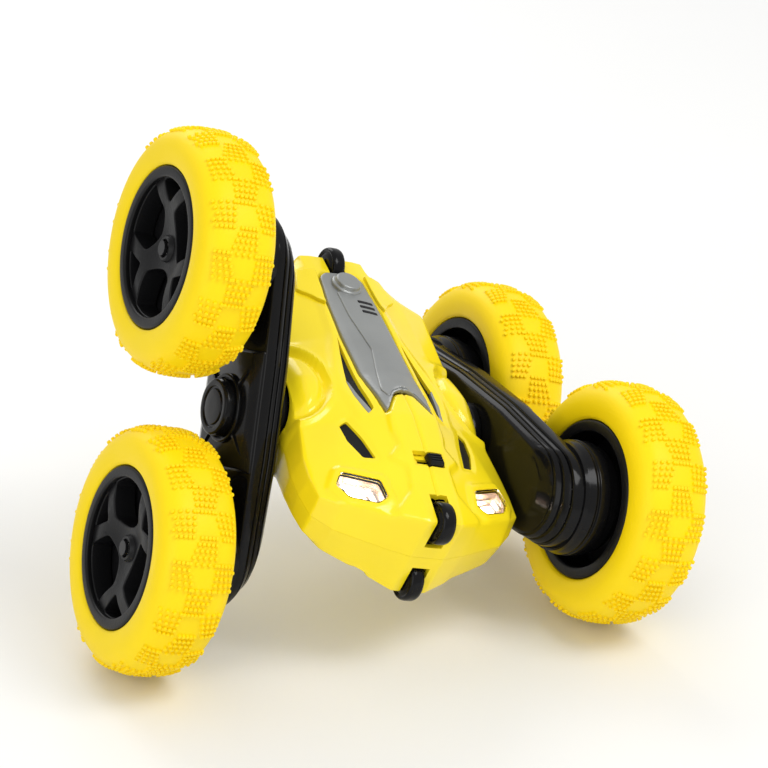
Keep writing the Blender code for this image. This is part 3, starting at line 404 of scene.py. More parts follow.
def holder(name, mesh):
    """A temporary object for modifiers."""
    made = bpy.data.objects.new(name, mesh)
    bpy.context.scene.collection.objects.link(made)
    return made


def baked(made):
    """The evaluated mesh of a temporary object, which is then removed."""
    view = bpy.context.evaluated_depsgraph_get()
    mesh = bpy.data.meshes.new_from_object(made.evaluated_get(view))
    bpy.data.objects.remove(made)
    return mesh


def mesh_of(solid, name="solid"):
    """A mesh from points and faces, its faces turned outwards."""
    mesh = bpy.data.meshes.new(name)
    mesh.from_pydata([tuple(point) for point in solid[0]], [], solid[1])
    cage = bmesh.new()
    cage.from_mesh(mesh)
    bmesh.ops.recalc_face_normals(cage, faces=cage.faces)
    cage.to_mesh(mesh)
    cage.free()
    return mesh


def arrays(mesh):
    """Points and faces of a mesh."""
    points = np.empty(len(mesh.vertices) * 3)
    mesh.vertices.foreach_get("co", points)
    return points.reshape(-1, 3), [tuple(face.vertices) for face in mesh.polygons]


def join(solids):
    """Several solids as one list of points and faces."""
    points, faces, start = [], [], 0
    for place, rings in solids:
        points.append(np.asarray(place, float))
        faces += [tuple(corner + start for corner in face) for face in rings]
        start += len(place)
    return np.vstack(points), faces


def outwards(solid, lean):
    """A solid modelled on the right, laid on the side that lean names."""
    return np.asarray(solid[0]) * (lean, 1, 1), solid[1]


def plate(loops, thickness, edge=0.0, pitch=0.0):
    """A flat plate from outline and hole loops, with soft edges, cut into a grid so that it can bend."""
    curve = bpy.data.curves.new("plate", "CURVE")
    curve.dimensions = "2D"
    curve.fill_mode = "BOTH"
    curve.extrude = thickness / 2 - edge
    curve.bevel_depth = edge
    curve.bevel_resolution = 2
    curve.offset = -edge
    for loop in loops:
        spline = curve.splines.new("POLY")
        spline.points.add(len(loop) - 1)
        for point, (x, y) in zip(spline.points, loop):
            point.co = (x, y, 0, 1)
        spline.use_cyclic_u = True
    mesh = baked(holder("plate", curve))
    cage = bmesh.new()
    cage.from_mesh(mesh)
    bmesh.ops.remove_doubles(cage, verts=cage.verts, dist=0.002)
    if pitch:
        for axis in range(2):
            places = [vertex.co[axis] for vertex in cage.verts]
            normal = Vector((1, 0, 0) if axis == 0 else (0, 1, 0))
            for place in np.arange(min(places) + pitch / 2, max(places), pitch):
                everything = cage.verts[:] + cage.edges[:] + cage.faces[:]
                bmesh.ops.bisect_plane(cage, geom=everything, dist=0.001, plane_co=normal * place,
                                       plane_no=normal)
    bmesh.ops.recalc_face_normals(cage, faces=cage.faces)
    cage.to_mesh(mesh)
    cage.free()
    return mesh


def stepped(start, end, value):
    """Smooth step from 0 at start to 1 at end."""
    t = np.clip((np.asarray(value, float) - start) / (end - start), 0, 1)
    return t * t * (3 - 2 * t)


def edge_distance(point, start, end):
    """Distance of plan points from one straight edge, mm."""
    edge = end - start
    t = np.clip((point - start) @ edge / (edge @ edge), 0, 1)
    return np.linalg.norm(point - start - t[:, None] * edge, axis=1)


def depth_inside(outline, across, along):
    """Signed distance of plan points inside an outline, mm."""
    ring = np.asarray(outline, float)
    point = np.stack([across, along], 1)
    nearest = np.full(len(point), 1e9)
    inside = np.zeros(len(point), bool)
    for start, end in zip(ring, np.roll(ring, -1, 0)):
        nearest = np.minimum(nearest, edge_distance(point, start, end))
        crosses = (start[1] > point[:, 1]) != (end[1] > point[:, 1])
        rise = end[1] - start[1] if end[1] != start[1] else 1e-9
        inside ^= crosses & (point[:, 0] < (end[0] - start[0]) * (point[:, 1] - start[1]) / rise + start[0])
    return np.where(inside, nearest, -nearest)


def line_distance(line, across, along):
    """Distance of plan points from an open line, mm."""
    point = np.stack([across, along], 1)
    nearest = np.full(len(point), 1e9)
    for start, end in zip(np.asarray(line[:-1], float), np.asarray(line[1:], float)):
        nearest = np.minimum(nearest, edge_distance(point, start, end))
    return nearest


def piece(name, shape, place, body, material, stands_for=(), smooth=SHARP):
    """A finished piece, laid in the car's frame and given to a body."""
    mesh = shape if isinstance(shape, bpy.types.Mesh) else mesh_of(shape, name)
    mesh.name = name
    mesh.materials.clear()
    mesh.materials.append(material)
    mesh.transform(place)
    if place.determinant() < 0:
        mesh.flip_normals()
    mesh.shade_smooth()
    mesh.set_sharp_from_angle(angle=smooth)
    made = bpy.data.objects.new(name, mesh)
    bpy.context.scene.collection.objects.link(made)
    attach(made, body)
    if stands_for:
        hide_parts(*stands_for)


# ---------------------------------------------------------------- wheels

def tyre_section():
    """Outer curve of the tyre from its outer bead over the tread to its inner bead, as (x, r)."""
    half = TYRE_OUTER + [(-x, r) for x, r in reversed(TYRE_OUTER[:-1])]
    return chaikin(half, 3)


def nub_template():
    """One round rubber nub standing on z = 0, with its foot sunk in the tread."""
    return stood([(height, NUB_R * share) for height, share in NUB_RINGS], NUB_SIDES)


def tread_spots():
    """Places of the nubs, (x, angle): three staggered columns of fanned, slanted blocks."""
    spots = []
    for column, (middle_x, slant) in enumerate(TREAD_COLUMNS.items()):
        for block in range(BLOCKS):
            centre = 2 * math.pi * (block + (0.5 if column == 1 else 0.0)) / BLOCKS
            spreads = ROW_SPREAD if (block + column) % 2 else ROW_SPREAD[::-1]
            for row, spread in enumerate(spreads):
                for k in range(NUBS_IN_ROW):
                    x = middle_x + (k / (NUBS_IN_ROW - 1) - 0.5) * spread + slant * (row - 2) * ROW_SLANT
                    angle = centre + (row - 2) * ROW_PITCH / TREAD_R
                    if abs(x) < TREAD_REACH:
                        spots.append((x, angle))
    return spots


def make_tyre(name, lean):
    """Soft smooth tyre with its nubbed tread."""
    section = tyre_section()
    carcass = turned(list(map(tuple, section)) + BEAD, 128, wrap=True)
    tread = section[section[:, 1] > 30]
    order = np.argsort(tread[:, 0])
    x_of, r_of = tread[order, 0], tread[order, 1]
    nub, nub_faces = nub_template()
    points, faces = [], []
    for index, (x, angle) in enumerate(tread_spots()):
        r = np.interp(x, x_of, r_of)
        slope = (np.interp(x + 0.2, x_of, r_of) - np.interp(x - 0.2, x_of, r_of)) / 0.4
        up = Vector((-slope, 1.0)).normalized()
        along_x = up.y * nub[:, 0] + up.x * nub[:, 2]
        radial = r - up.x * nub[:, 0] + up.y * nub[:, 2]
        c, s = math.cos(angle), math.sin(angle)
        points.append(np.stack([x + along_x, radial * c - nub[:, 1] * s, radial * s + nub[:, 1] * c], 1))
        start = index * len(nub)
        faces += [tuple(corner + start for corner in face) for face in nub_faces]
    points, faces = outwards(join([carcass, (np.vstack(points), faces)]), lean)
    points = points + (lean * WHEEL_X, 0, 0)
    piece(f"{name}_tyre_tread", (points, faces), HUB[name], f"{name}_wheel", YELLOW_TYRE,
          [f"{name}_tyre"])


def polar(radius, degrees):
    """A point of the wheel's plane."""
    angle = math.radians(degrees)
    return (radius * math.cos(angle), radius * math.sin(angle))


def arc(radius, start, end, steps=8):
    """Points of a circle between two angles in degrees."""
    return [polar(radius, start + (end - start) * k / steps) for k in range(steps + 1)]


def spoke_windows():
    """Three wide windows between the Y-shaped spokes and three small ones inside their forks."""
    loops = []
    for fork in (0, 120, 240):
        wide = [polar(6.0, fork + 60), polar(7.2, fork + 34), polar(11.1, fork + 16)]
        wide += arc(20.0, fork + 33.5, fork + 86.5, 10) + [polar(11.1, fork + 104), polar(7.2, fork + 86)]
        loops.append(softened(wide, 1.5, 3, True))
        narrow = [polar(13.2, fork)] + arc(20.0, fork - 18, fork + 18, 6)
        loops.append(softened(narrow, 1.0, 3, True))
    return loops


def make_rim(name, lean):
    """Satin rim: flanged barrel, dished Y spokes with deep sides and a dark back, hub tube."""
    band = softened(FLANGE + [(-x, r) for x, r in reversed(FLANGE)], 0.35, 2, True)
    barrel = turned(band, 96, wrap=True)

    mesh = plate([arc(20.9, 0, 360 * 71 / 72, 71)] + spoke_windows(), SPOKE_DEPTH, 0.4, 1.6)
    flat, faces = arrays(mesh)
    bpy.data.meshes.remove(mesh)
    radius = np.hypot(flat[:, 0], flat[:, 1])
    dish = SPOKE_DISH * (1 - stepped(3.0, 17.0, radius))
    outer = flat[:, 2] > 0
    crown = np.where(outer, SPOKE_CROWN * np.sin(np.clip(radius / 20, 0, 1) * math.pi), 0)
    depth = SPOKE_FACE - SPOKE_DEPTH / 2 + flat[:, 2] - dish + crown
    turn_by = math.radians(FORK_ANGLES[name])
    c, s = math.cos(turn_by), math.sin(turn_by)
    spokes = (np.stack([depth, flat[:, 0] * c - flat[:, 1] * s, flat[:, 0] * s + flat[:, 1] * c], 1), faces)

    hub = turned(HUB_TUBE, 40, wrap=True)
    back = turned(RIM_BACK, 72, wrap=True)
    points, faces = outwards(join([barrel, spokes, hub, back]), lean)
    points = points + (lean * WHEEL_X, 0, 0)
    piece(f"{name}_rim_forks", (points, faces), HUB[name], f"{name}_wheel", BLACK_SATIN,
          [f"{name}_rim"])


# ---------------------------------------------------------------- arms

def arm_ring(x, distance):
    """The arm's outline at a place across the car, moved inwards by a distance, as (x, y, z)."""
    end_steps = 24
    places, halves, reaches = zip(*ARM_LEVELS)
    full = float(np.interp(x, places, halves))
    end = float(np.interp(x, places, reaches)) - (full - 2.0)
    half, radius = full - distance, full - 2.0 - distance
    span = Vector((ARM_BEND - end, half))
    start = math.atan2(span.y, span.x) - math.acos(radius / span.length)
    touch = (end + radius * math.cos(start), radius * math.sin(start))
    upper = [(0.0, half), (ARM_BEND * 0.5, half), (ARM_BEND - 1, half)]
    for t in (0.05, 0.3, 0.6):
        upper.append((ARM_BEND + (touch[0] - ARM_BEND) * t, half + (touch[1] - half) * t))
    half_ring = upper + [(end + radius * math.cos(start - 2 * start * k / end_steps),
                          radius * math.sin(start - 2 * start * k / end_steps)) for k in range(end_steps + 1)]
    half_ring += [(y, -z) for y, z in reversed(upper[1:])]
    return [(x, y, z) for y, z in half_ring + [(-y, -z) for y, z in half_ring]]


def cover_ring(x, distance):
    """The middle cover's outline, whose long edges slope much more than its short ones."""
    reach, half = COVER_REACH - 0.25 * distance, COVER_HALF - distance
    edge = [(-reach, half - 0.3), (-ARM_BEND, half), (ARM_BEND, half), (reach, half - 0.3)]
    return [(x, y, z) for y, z in softened(edge + [(y, -z) for y, z in reversed(edge)], 0.8, 3, True)]


def stack(ring, levels):
    """A solid through a ring at several levels: (x, inset) from one end to the other."""
    return loft([ring(x, distance) for x, distance in levels])


def make_arm(side):
    """Layered glossy arm: two hollow halves, raised middle cover, stepped end cups, pivot disc and cap."""
    lean = SIDES[side]
    seam = ARM_SPLIT - ARM_SEAM
    tray = [(ARM_IN + ARM_WALL, ARM_WALL), (seam, ARM_WALL), (seam, 0.35), (seam - 0.3, 0.0)]
    tray += [(groove + x, distance) for groove in ARM_GROOVES for x, distance in GROOVE]
    tray += [(ARM_IN + 0.8, 0.0), (ARM_IN + 0.25, 0.2), (ARM_IN, 0.8)]
    inner = stack(arm_ring, tray)
    disc = turned(softened(PIVOT_DISC, 0.8), 64)
    arm_inner = outwards(join([inner, disc, turned(NECK, 40)]), lean)
    piece(f"{side}_arm_inner_layers", arm_inner, ARM[side], f"{side}_arm", BLACK_GLOSS,
          [f"{side}_arm_inner_case"])

    seam = ARM_SPLIT + ARM_SEAM
    lid = [(ARM_FACE - ARM_WALL, ARM_WALL), (seam, ARM_WALL), (seam, 0.35), (seam + 0.3, 0.0),
           (ARM_FACE - 1.0, 0.0), (ARM_FACE - 0.45, 0.2), (ARM_FACE - 0.1, 0.65), (ARM_FACE, 1.1)]
    outer = stack(arm_ring, lid)
    cover = stack(cover_ring, [(ARM_FACE - 0.8, 0.0), (ARM_FACE + 0.15, 0.0), (ARM_FACE + 0.4, 0.15),
                               (COVER_FACE - 0.12, 3.3), (COVER_FACE, 3.6)])
    solids = [outer, cover]
    for end in (-1, 1):
        solids.append(turned(softened(CUP, 0.25, 2), 80, centre=(end * AXLE_SPACING / 2, 0)))
    for quarter in range(4):
        solids.append(rib_solid(45 + 90 * quarter))
    base = softened([(COVER_FACE - 0.6, 10.2), (COVER_FACE + 0.9, 10.2), (COVER_FACE + 1.2, 9.8),
                     (COVER_FACE + 1.2, 8.9), (COVER_FACE + 0.2, 8.8), (COVER_FACE - 0.6, 8.8)], 0.3, 3, True)
    solids.append(turned(base, 72, wrap=True))
    piece(f"{side}_arm_outer_layers", outwards(join(solids), lean), ARM[side], f"{side}_arm",
          BLACK_GLOSS, [f"{side}_arm_outer_case"])

    piece(f"{side}_motor_cap_round", outwards(turned(softened(CAP, 0.12, 2), 72), lean), ARM[side],
          f"{side}_arm", BLACK_GLOSS, [f"{side}_motor_cap"])


def rib_solid(degrees):
    """Thin rib on the cover, from the cap's base ring towards a corner."""
    rings = []
    for distance, height in ((9.9, 0.7), (16.4, 0.5), (18.6, 0.0)):
        ring = []
        for across, up in ((-0.55, -0.3), (-0.4, height), (0.4, height), (0.55, -0.3)):
            y, z = polar(distance, degrees)
            side_y, side_z = polar(across, degrees + 90)
            ring.append((COVER_FACE + up, y + side_y, z + side_z))
        rings.append(ring)
    return loft(rings)


# ---------------------------------------------------------------- shells

def fine_skin():
    """The top shell's outer skin as a fine grid with its relief, in body coordinates."""
    cage = bmesh.new()
    known = {}

    def corner(along, across, height):
        key = (round(along, 4), round(across, 4), round(height, 4))
        if key not in known:
            known[key] = cage.verts.new((across, -along, height))
        return known[key]

    for row, after in zip(STATIONS, STATIONS[1:]):
        for column in range(len(row) - 1):
            for side in (1, -1):
                corners = []
                for along, across, height in (row[column], row[column + 1], after[column + 1], after[column]):
                    vertex = corner(along, side * across, height)
                    if vertex not in corners:
                        corners.append(vertex)
                if len(corners) > 2:
                    cage.faces.new(corners[::side])
    mesh = bpy.data.meshes.new("skin")
    cage.to_mesh(mesh)
    cage.free()
    rough = holder("skin", mesh)
    fine = rough.modifiers.new("fine", "SUBSURF")
    fine.subdivision_type = "SIMPLE"
    fine.levels = 4
    fine.render_levels = 4
    mesh = baked(rough)
    points, faces = arrays(mesh)
    edges = np.array([tuple(edge.vertices) for edge in mesh.edges])
    loose_ends = open_points(faces)
    points = relaxed(points, edges, loose_ends, 2)
    points[:, 2] += relief(-points[:, 1], np.abs(points[:, 0])) * stepped(2.0, 7.0, points[:, 2])
    points = relaxed(points, edges, loose_ends, 1)
    curl = 0.04 * (1 - stepped(SEAM, 0.6, points[:, 2]))
    flat = points[:, :2] / np.maximum(np.linalg.norm(points[:, :2], axis=1), 1e-6)[:, None]
    points[:, :2] -= flat * curl[:, None]
    bpy.data.meshes.remove(mesh)
    return points, faces


def open_points(faces):
    """Marks the points on the open rim of a skin."""
    uses = {}
    for face in faces:
        for a, b in zip(face, face[1:] + face[:1]):
            key = (min(a, b), max(a, b))
            uses[key] = uses.get(key, 0) + 1
    rim = {point for key, count in uses.items() if count == 1 for point in key}
    return np.array(sorted(rim))


def relaxed(points, edges, fixed, times):
    """Points eased towards their neighbours' mean, which rounds the skin's creases."""
    points = points.copy()
    held = points[fixed].copy()
    for _ in range(times):
        total = np.zeros_like(points)
        count = np.zeros(len(points))
        for a, b in ((0, 1), (1, 0)):
            np.add.at(total, edges[:, a], points[edges[:, b]])
            np.add.at(count, edges[:, a], 1)
        points = points * 0.4 + total / count[:, None] * 0.6
        points[fixed] = held
    return points


def relief(along, across):
    """Raised and sunk features of the shell's top, mm."""
    hood = 0.9 * stepped(-0.2, 0.6, depth_inside(HOOD, across, along))
    flank = 0.6 * (1 - stepped(0.0, 2.4, line_distance(FLANK, across, along)))
    brow = 0.7 * stepped(-2.6, -1.7, depth_inside(HEADLIGHT, across, along))
    bay = SPINE + [NOTCH, (-3.0, NOTCH[1]), (-3.0, SPINE[0][1])]
    channel = -1.5 * stepped(-1.0, -0.1, depth_inside(bay, across, along))
    ring_across, ring_along, squeeze = PIVOT_RING
    held = np.minimum(across, ring_across)
    reach = np.hypot((held - ring_across) * squeeze, along - ring_along)
    rings = sum(height * np.exp(-((reach - radius) / width) ** 2)
                for height, radius, width in (RING_GROOVE, RING_LIP))
    barrel = np.clip(1 - (reach / BARREL_R) ** 2, 0, None)
    rounding = -0.13 * np.maximum(held - 26.5, 0) ** 2 * (1 - stepped(11.0, 15.0, np.abs(along - ring_along)))
    vent = -0.4 * stepped(-1.3, -0.6, depth_inside(HOOD_VENT, across, along))
    return hood + flank + brow + channel + rings + barrel + rounding + vent


SKIN = fine_skin()
SKIN_TREE = BVHTree.FromPolygons([tuple(point) for point in SKIN[0]], SKIN[1])


def roof(across, along):
    """Height of the top skin at plan points, mm."""
    heights = []
    for x, a in zip(np.atleast_1d(across), np.atleast_1d(along)):
        hit = SKIN_TREE.ray_cast(Vector((float(x), float(-a), 60)), Vector((0, 0, -1)))[0]
        heights.append(hit.z if hit else SEAM)
    return np.array(heights)


def prism(loops, low, high):
    """An upright cutter from plan loops in the body's X and Y."""
    mesh = plate(loops, high - low)
    mesh.transform(Matrix.Translation((0, 0, (low + high) / 2)))
    return mesh


def cut(mesh, cutter, operation="DIFFERENCE"):
    """A mesh cut by, or kept inside, another."""
    body, tool = holder("cut", mesh), holder("tool", cutter)
    step = body.modifiers.new("cut", "BOOLEAN")
    step.object = tool
    step.operation = operation
    step.solver = "MANIFOLD"
    made = baked(body)
    bpy.data.objects.remove(tool)
    return made


def thickened(solid, wall):
    """A skin with its wall, towards the inside."""
    mesh = bpy.data.meshes.new("skin")
    mesh.from_pydata([tuple(point) for point in solid[0]], [], solid[1])
    made = holder("skin", mesh)
    solidify = made.modifiers.new("wall", "SOLIDIFY")
    solidify.thickness = wall
    solidify.offset = -1
    solidify.use_even_offset = False
    return baked(made)


def skin_patch(loop, wall):
    """The part of the skin inside a plan outline, thickened."""
    ring = np.asarray(loop)
    low, high = ring.min(0) - 2.5, ring.max(0) + 2.5
    points, faces = SKIN
    centres = np.array([points[list(face), :2].mean(0) for face in faces])
    heights = np.array([points[list(face), 2].mean() for face in faces])
    keep = np.all((centres > low) & (centres < high), axis=1) & (heights > 2.0)
    kept = [face for face, wanted in zip(faces, keep) if wanted]
    used = sorted({corner for face in kept for corner in face})
    index = {corner: k for k, corner in enumerate(used)}
    part = (points[used], [tuple(index[corner] for corner in face) for face in kept])
    return cut(thickened(part, wall), prism([loop], 0, TALL), "INTERSECT")


def box_solid(x, along, height):
    """A box in body coordinates."""
    return loft([[(a, b, h) for a, b in rectangle(x, along)] for h in height])


def shell_cutters(upper):
    """Everything cut out of a shell, as one mesh."""
    solids = []
    loops = [softened(plan(HEADLIGHT), 1.0, 3, True)]
    if upper:
        loops += [softened(plan(HOOD_VENT), 0.6, 3, True), softened(plan(SIDE_VENT), 0.5, 3, True)]
    for loop in loops + [mirrored(loop) for loop in loops]:
        solids.append(arrays(prism([loop], 3, TALL)))
    solids.append(box_solid((-SLOT_HALF, SLOT_HALF), NOSE_SLOT, (4.0, 30)))
    solids.append(box_solid((-SLOT_HALF, SLOT_HALF), TAIL_SLOT, (10.2, 30)))
    for lean in SIDES.values():
        solids.append(outwards(turned([(24, HUB_R + 0.6), (40, HUB_R + 0.6)], 64), lean))
    if upper:
        window = softened(rectangle(*SWITCH_WINDOW), 0.5, 2, True)
        solids.append(arrays(prism([window], 3, TALL)))
    else:
        loop = plan(DOOR + mirrored(DOOR))
        solids.append(arrays(prism([softened(loop, 1.2, 3, True)], 3, TALL)))
        steps = [k * math.pi / 12 for k in range(24)]
        for along, across in SCREW_SPOTS:
            ring = [(across + SCREW_HOLE_R * math.cos(a), -along + SCREW_HOLE_R * math.sin(a)) for a in steps]
            solids.append(arrays(prism([ring], 3, TALL)))
    return mesh_of(join(solids))


FLIP = Matrix.Scale(-1, 4, Vector((0, 0, 1)))


def half_frame(upper):
    """The body's frame, turned over for the bottom shell."""
    return BODY if upper else BODY @ FLIP


def make_shell(upper):
    """One glossy shell half with its windows and slots."""
    half = "top" if upper else "bottom"
    mesh = cut(thickened(SKIN, SHELL_WALL), shell_cutters(upper))
    piece(f"{half}_shell_skin", mesh, half_frame(upper), "body", YELLOW_SHELL,
          [f"{half}_shell"], SHELL_SHARP)
    for side, lean in SIDES.items():
        loop = softened(inset(plan(HEADLIGHT), GAP), 0.9, 3, True)
        lens = skin_patch(sided(loop, lean), 1.0)
        piece(f"{half}_{side}_lens_clear", lens, half_frame(upper), "body", CLEAR,
              [f"{half}_{side}_headlight_lens"])
        make_lamp(half, side, lean, upper)


def make_lamp(half, side, lean, upper):
    """Reflector dish with a faint painted glow of the bulb's light, filling the headlight window, with its
    lit bulb.
    """
    ring = np.asarray(sided(softened(inset(plan(HEADLIGHT), 0.5), 1.0, 4, True), lean))
    centre = np.array([lean * LAMP_MIDDLE[0], -LAMP_MIDDLE[1]])
    rim = roof(ring[:, 0], -ring[:, 1]) - 1.75
    floor = rim.min() - 3.6
    rings = []
    for shrink, sink, drop in REFLECTOR_STEPS:
        flat = centre + (ring - centre) * shrink
        rings.append(np.column_stack([flat, rim + (floor - rim) * sink - drop]))
    piece(f"{half}_{side}_reflector", loft(rings), half_frame(upper), "body", REFLECTOR_PAINTED_GLOW)
    bulb = stood([(floor + height, radius) for height, radius in BULB], 24, centre)
    piece(f"{half}_{side}_bulb", bulb, half_frame(upper), "body", LIT)


def draped(mesh, lift, extra=None):
    """A flat plan plate laid on the roof."""
    points = arrays(mesh)[0]
    points[:, 2] += roof(points[:, 0], -points[:, 1]) + lift
    if extra is not None:
        points[:, 2] += extra(points)
    mesh.vertices.foreach_set("co", points.ravel())
    return mesh


def spine_crown(points):
    """How far the panel's curved section lies above a flat one."""
    return 0.45 - (points[:, 0] / PANEL_HALF) ** 2


def make_spine():
    """Silver-grey panel with its raised field, round boss and three plain bars."""
    outline = softened(plan(SPINE + [NOTCH]) + mirrored(plan(SPINE)), 1.1, 4, True)
    panel = plate([outline], 1.6, 0.45, 0.8)
    field = plate([softened(plan(FIELD), 1.2, 4, True)], 0.9, 0.3, 0.8)
    solids = [arrays(draped(panel, GAP + 0.8, spine_crown)), arrays(draped(field, GAP + 1.55, spine_crown))]
    piece("top_spine_panel_skin", join(solids), BODY, "body", GREY_SATIN, ["top_spine_panel"],
          PANEL_SHARP)
    boss = stood(softened(BOSS, 0.2, 2), 48, (0, BOSS_Y))
    piece("top_spine_boss_round", boss, BODY, "body", GREY_SATIN)
    for bar in range(3):
        along = -34.2 + 2.3 * bar
        loop = softened(rectangle((1.0, 6.4), (along, along + 1.1)), 0.3, 3, True)
        strip = draped(plate([loop], 0.5, 0.12, 1.0), GAP + 1.9, spine_crown)
        piece(f"top_spine_bar_{bar + 1}", strip, BODY, "body", BLACK_SATIN)


def make_vents():
    """Black floors under the hood vents and leaf vents, and the grey lips of the leaf vents."""
    for side, lean in SIDES.items():
        solids = []
        for window, sink in ((HOOD_VENT, -1.1), (SIDE_VENT, -1.5)):
            loop = softened(inset(plan(window), 0.06), 0.6, 3, True)
            floor = plate([sided(loop, lean)], 0.8, 0.1, 1.2)
            solids.append(arrays(draped(floor, sink)))
        piece(f"{side}_vent_floor", join(solids), BODY, "body", BLACK_SATIN,
              [f"{side}_vent_liner"])
        lip = plate([sided(softened(plan(SIDE_TRIM), 0.35, 3, True), lean)], 1.5, 0.2, 0.9)
        piece(f"{side}_vent_lip", draped(lip, -0.6), BODY, "body", GREY_SATIN)


def make_door():
    """Battery door of the bottom shell with a moulded pad and grip ribs."""
    loop = softened(inset(plan(DOOR + mirrored(DOOR)), GAP), 1.0, 3, True)
    door = skin_patch(loop, SHELL_WALL)
    pad = arrays(plate([softened(rectangle(*PAD), 1.5, 4, True)], 2.0, 0.4))
    pad[0][:, 2] += PAD_HEIGHT
    solids = [arrays(door), pad]
    for rib in range(4):
        along = 3.6 + 2.2 * rib
        top = float(roof(3.0, along + 0.45)[0])
        solids.append(box_solid((-6, 6), (along, along + 0.9), (top - 1.0, top + 0.45)))
    piece("battery_door_skin", join(solids), half_frame(False), "body", YELLOW_SHELL,
          ["battery_door"], SHELL_SHARP)


def make_rollers():
    """Glossy guard rollers with a rounded tread and stub axles."""
    half = [(6.25, 0.95), (2.3, 0.98), (2.3, 3.6), (1.9, 4.4), (1.7, 4.9), (2.25, 5.3), (1.9, 5.9),
            (1.0, ROLLER_R)]
    profile = softened(half + [(-x, r) for x, r in reversed(half)], 0.35, 3)
    for place, (along, height) in ROLLERS.items():
        for name, sign in HALVES.items():
            points, faces = turned(profile, 64)
            points = points + (0, -along, sign * height)
            roller = f"{place}_{name}_roller"
            piece(f"{roller}_round", (points, faces), BODY, roller, BLACK_GLOSS, [roller])


def make_cradles():
    """Black linings of the four roller slots."""
    across = (0.2 - SLOT_HALF, SLOT_HALF - 0.2)
    for place, (floor_span, wall_span, low) in SLOT_LININGS.items():
        floor = box_solid(across, floor_span, (low, low + 0.9))
        wall = box_solid(across, wall_span, (low, ROLLERS[place][1] + 1.0))
        for name, sign in HALVES.items():
            piece(f"{place}_{name}_slot_lining", join([floor, wall]), half_frame(sign > 0), "body",
                  BLACK_SATIN)


def make_ledge():
    """Yellow ledge below the switch window, slotted for the slider's stem."""
    top = float(roof(*SWITCH_SPOT)[0]) - 1.4
    solids = [box_solid((-6.0, 6.2), rail, (top - 0.8, top)) for rail in ((32.2, 34.8), (36.6, 39.2))]
    solids += [box_solid(x, (34.5, 36.9), (top - 0.8, top)) for x in ((-6.0, -3.2), (3.6, 6.2))]
    piece("power_switch_ledge", join(solids), BODY, "body", YELLOW_SHELL)


def make_ears():
    """Raised plates at the shells' rear corners."""
    for upper in (True, False):
        for side, lean in SIDES.items():
            loop = softened(plan(EAR), 0.7, 3, True)
            shape = draped(plate([sided(loop, lean)], 2.2, 0.3, 0.8), 0.1)
            piece(f"{'top' if upper else 'bottom'}_{side}_ear", shape, half_frame(upper), "body",
                  YELLOW_SHELL)


def make_switch():
    """Sliding switch with grip lines, over a yellow ledge."""
    x, along = (0.0, 4.8), (33.6, 37.8)
    top = float(roof(*SWITCH_SPOT)[0])
    rings = []
    middle_x, middle_y = sum(x) / 2, -sum(along) / 2
    ring = softened(rectangle(x, along), 0.4, 2, True)
    for height, shrink in ((top - 1.2, 1.0), (top - 0.3, 1.0), (top + 0.5, 0.94), (top + 0.8, 0.84)):
        rings.append([(middle_x + (a - middle_x) * shrink, middle_y + (b - middle_y) * shrink, height)
                      for a, b in ring])
    solids = [loft(rings), box_solid((1.7, 3.1), (35.0, 36.4), (11.5, top - 1.0))]
    for line in range(3):
        place = along[0] + 0.75 + line
        solids.append(box_solid((x[0] + 0.5, x[1] - 0.5), (place, place + 0.4), (top + 0.4, top + 1.05)))
    piece("power_switch_grip", join(solids), BODY, "power_switch", BLACK_SATIN,
          ["power_switch_slider"])


# ---------------------------------------------------------------- everything

for wheel in HUB:
    side_lean = SIDES[wheel.split("_")[0]]
    make_tyre(wheel, side_lean)
    make_rim(wheel, side_lean)
for arm_side in SIDES:
    make_arm(arm_side)
make_shell(True)
make_shell(False)
make_spine()
make_vents()
make_door()
make_rollers()
make_cradles()
make_switch()
make_ledge()
make_ears()

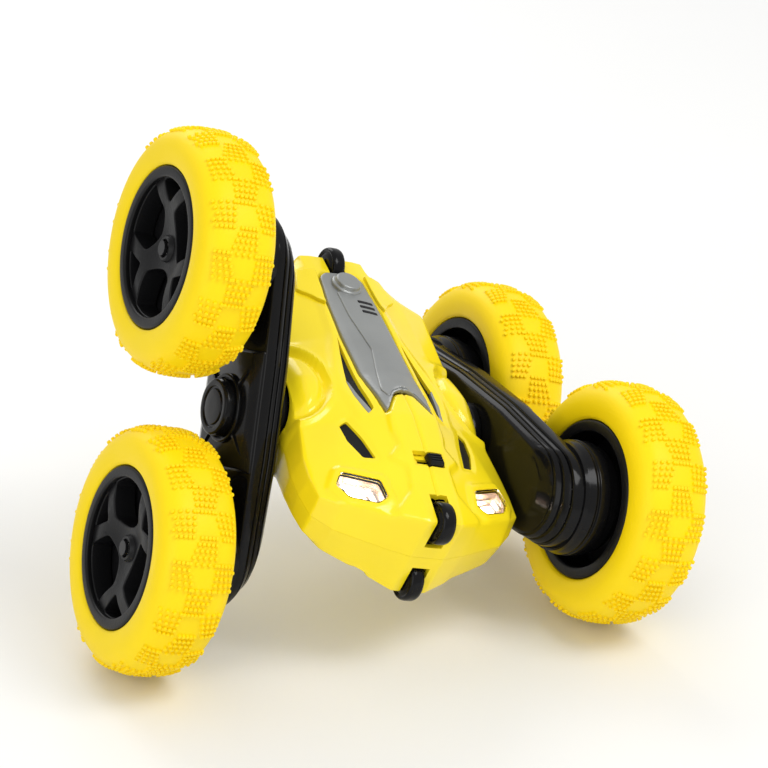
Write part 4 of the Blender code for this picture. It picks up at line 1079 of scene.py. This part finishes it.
for node, holder_object in frame["nodes"].items():
    look = next((made for ending, made in CAD_LOOKS.items() if ending in node), BLACK_SATIN)
    holder_object.data.materials.clear()
    holder_object.data.materials.append(look)


# ---------------------------------------------------------------- floor, light, camera

def add_floor():
    """Pale floor sheet."""
    size = 4.0
    sheet = bpy.data.meshes.new("floor")
    corners = [(-size, -size, 0), (size, -size, 0), (size, size, 0), (-size, size, 0)]
    sheet.from_pydata(corners, [], [(0, 1, 2, 3)])
    floor = bpy.data.objects.new("floor", sheet)
    bpy.context.scene.collection.objects.link(floor)
    pale = moulded("pale_floor", (0.86, 0.86, 0.85), 0.6, tint=0.01, tint_scale=3, bump=0.02)
    sheet.materials.append(pale)


def add_light(name, place, size, power):
    """A soft square light aimed at the car's pivot."""
    lamp = bpy.data.lights.new(name, "AREA")
    lamp.shape = "SQUARE"
    lamp.size = size
    lamp.energy = power
    made = bpy.data.objects.new(name, lamp)
    made.location = place
    made.rotation_euler = (PIVOT - Vector(place)).to_track_quat("-Z", "Y").to_euler()
    bpy.context.scene.collection.objects.link(made)


def add_camera():
    """Three-quarter view from the front left, above."""
    lens = bpy.data.cameras.new("camera")
    lens.sensor_width = 36.0
    lens.lens = 135.3
    camera = bpy.data.objects.new("camera", lens)
    camera.location = PIVOT + Vector((-0.3300, -0.7041, 0.3604))
    gaze = (PIVOT - camera.location).normalized()
    right = gaze.cross(Vector((0, 0, 1))).normalized()
    up = right.cross(gaze)
    target = PIVOT + right * 0.0062 + up * 0.0120
    camera.rotation_euler = (target - camera.location).to_track_quat("-Z", "Y").to_euler()
    bpy.context.scene.collection.objects.link(camera)
    bpy.context.scene.camera = camera


add_floor()
add_light("key", (0.45, -0.55, 0.95), 0.5, 5.5)
add_light("fill", (-0.9, -0.75, 0.55), 0.9, 4.0)
add_light("rim", (0.1, 0.95, 0.75), 0.7, 4.0)
world = bpy.data.worlds.new("studio")
world.use_nodes = True
world.node_tree.nodes["Background"].inputs["Color"].default_value = (1, 1, 1, 1)
world.node_tree.nodes["Background"].inputs["Strength"].default_value = 0.68
bpy.context.scene.world = world
bpy.context.scene.view_settings.view_transform = "Standard"
add_camera()
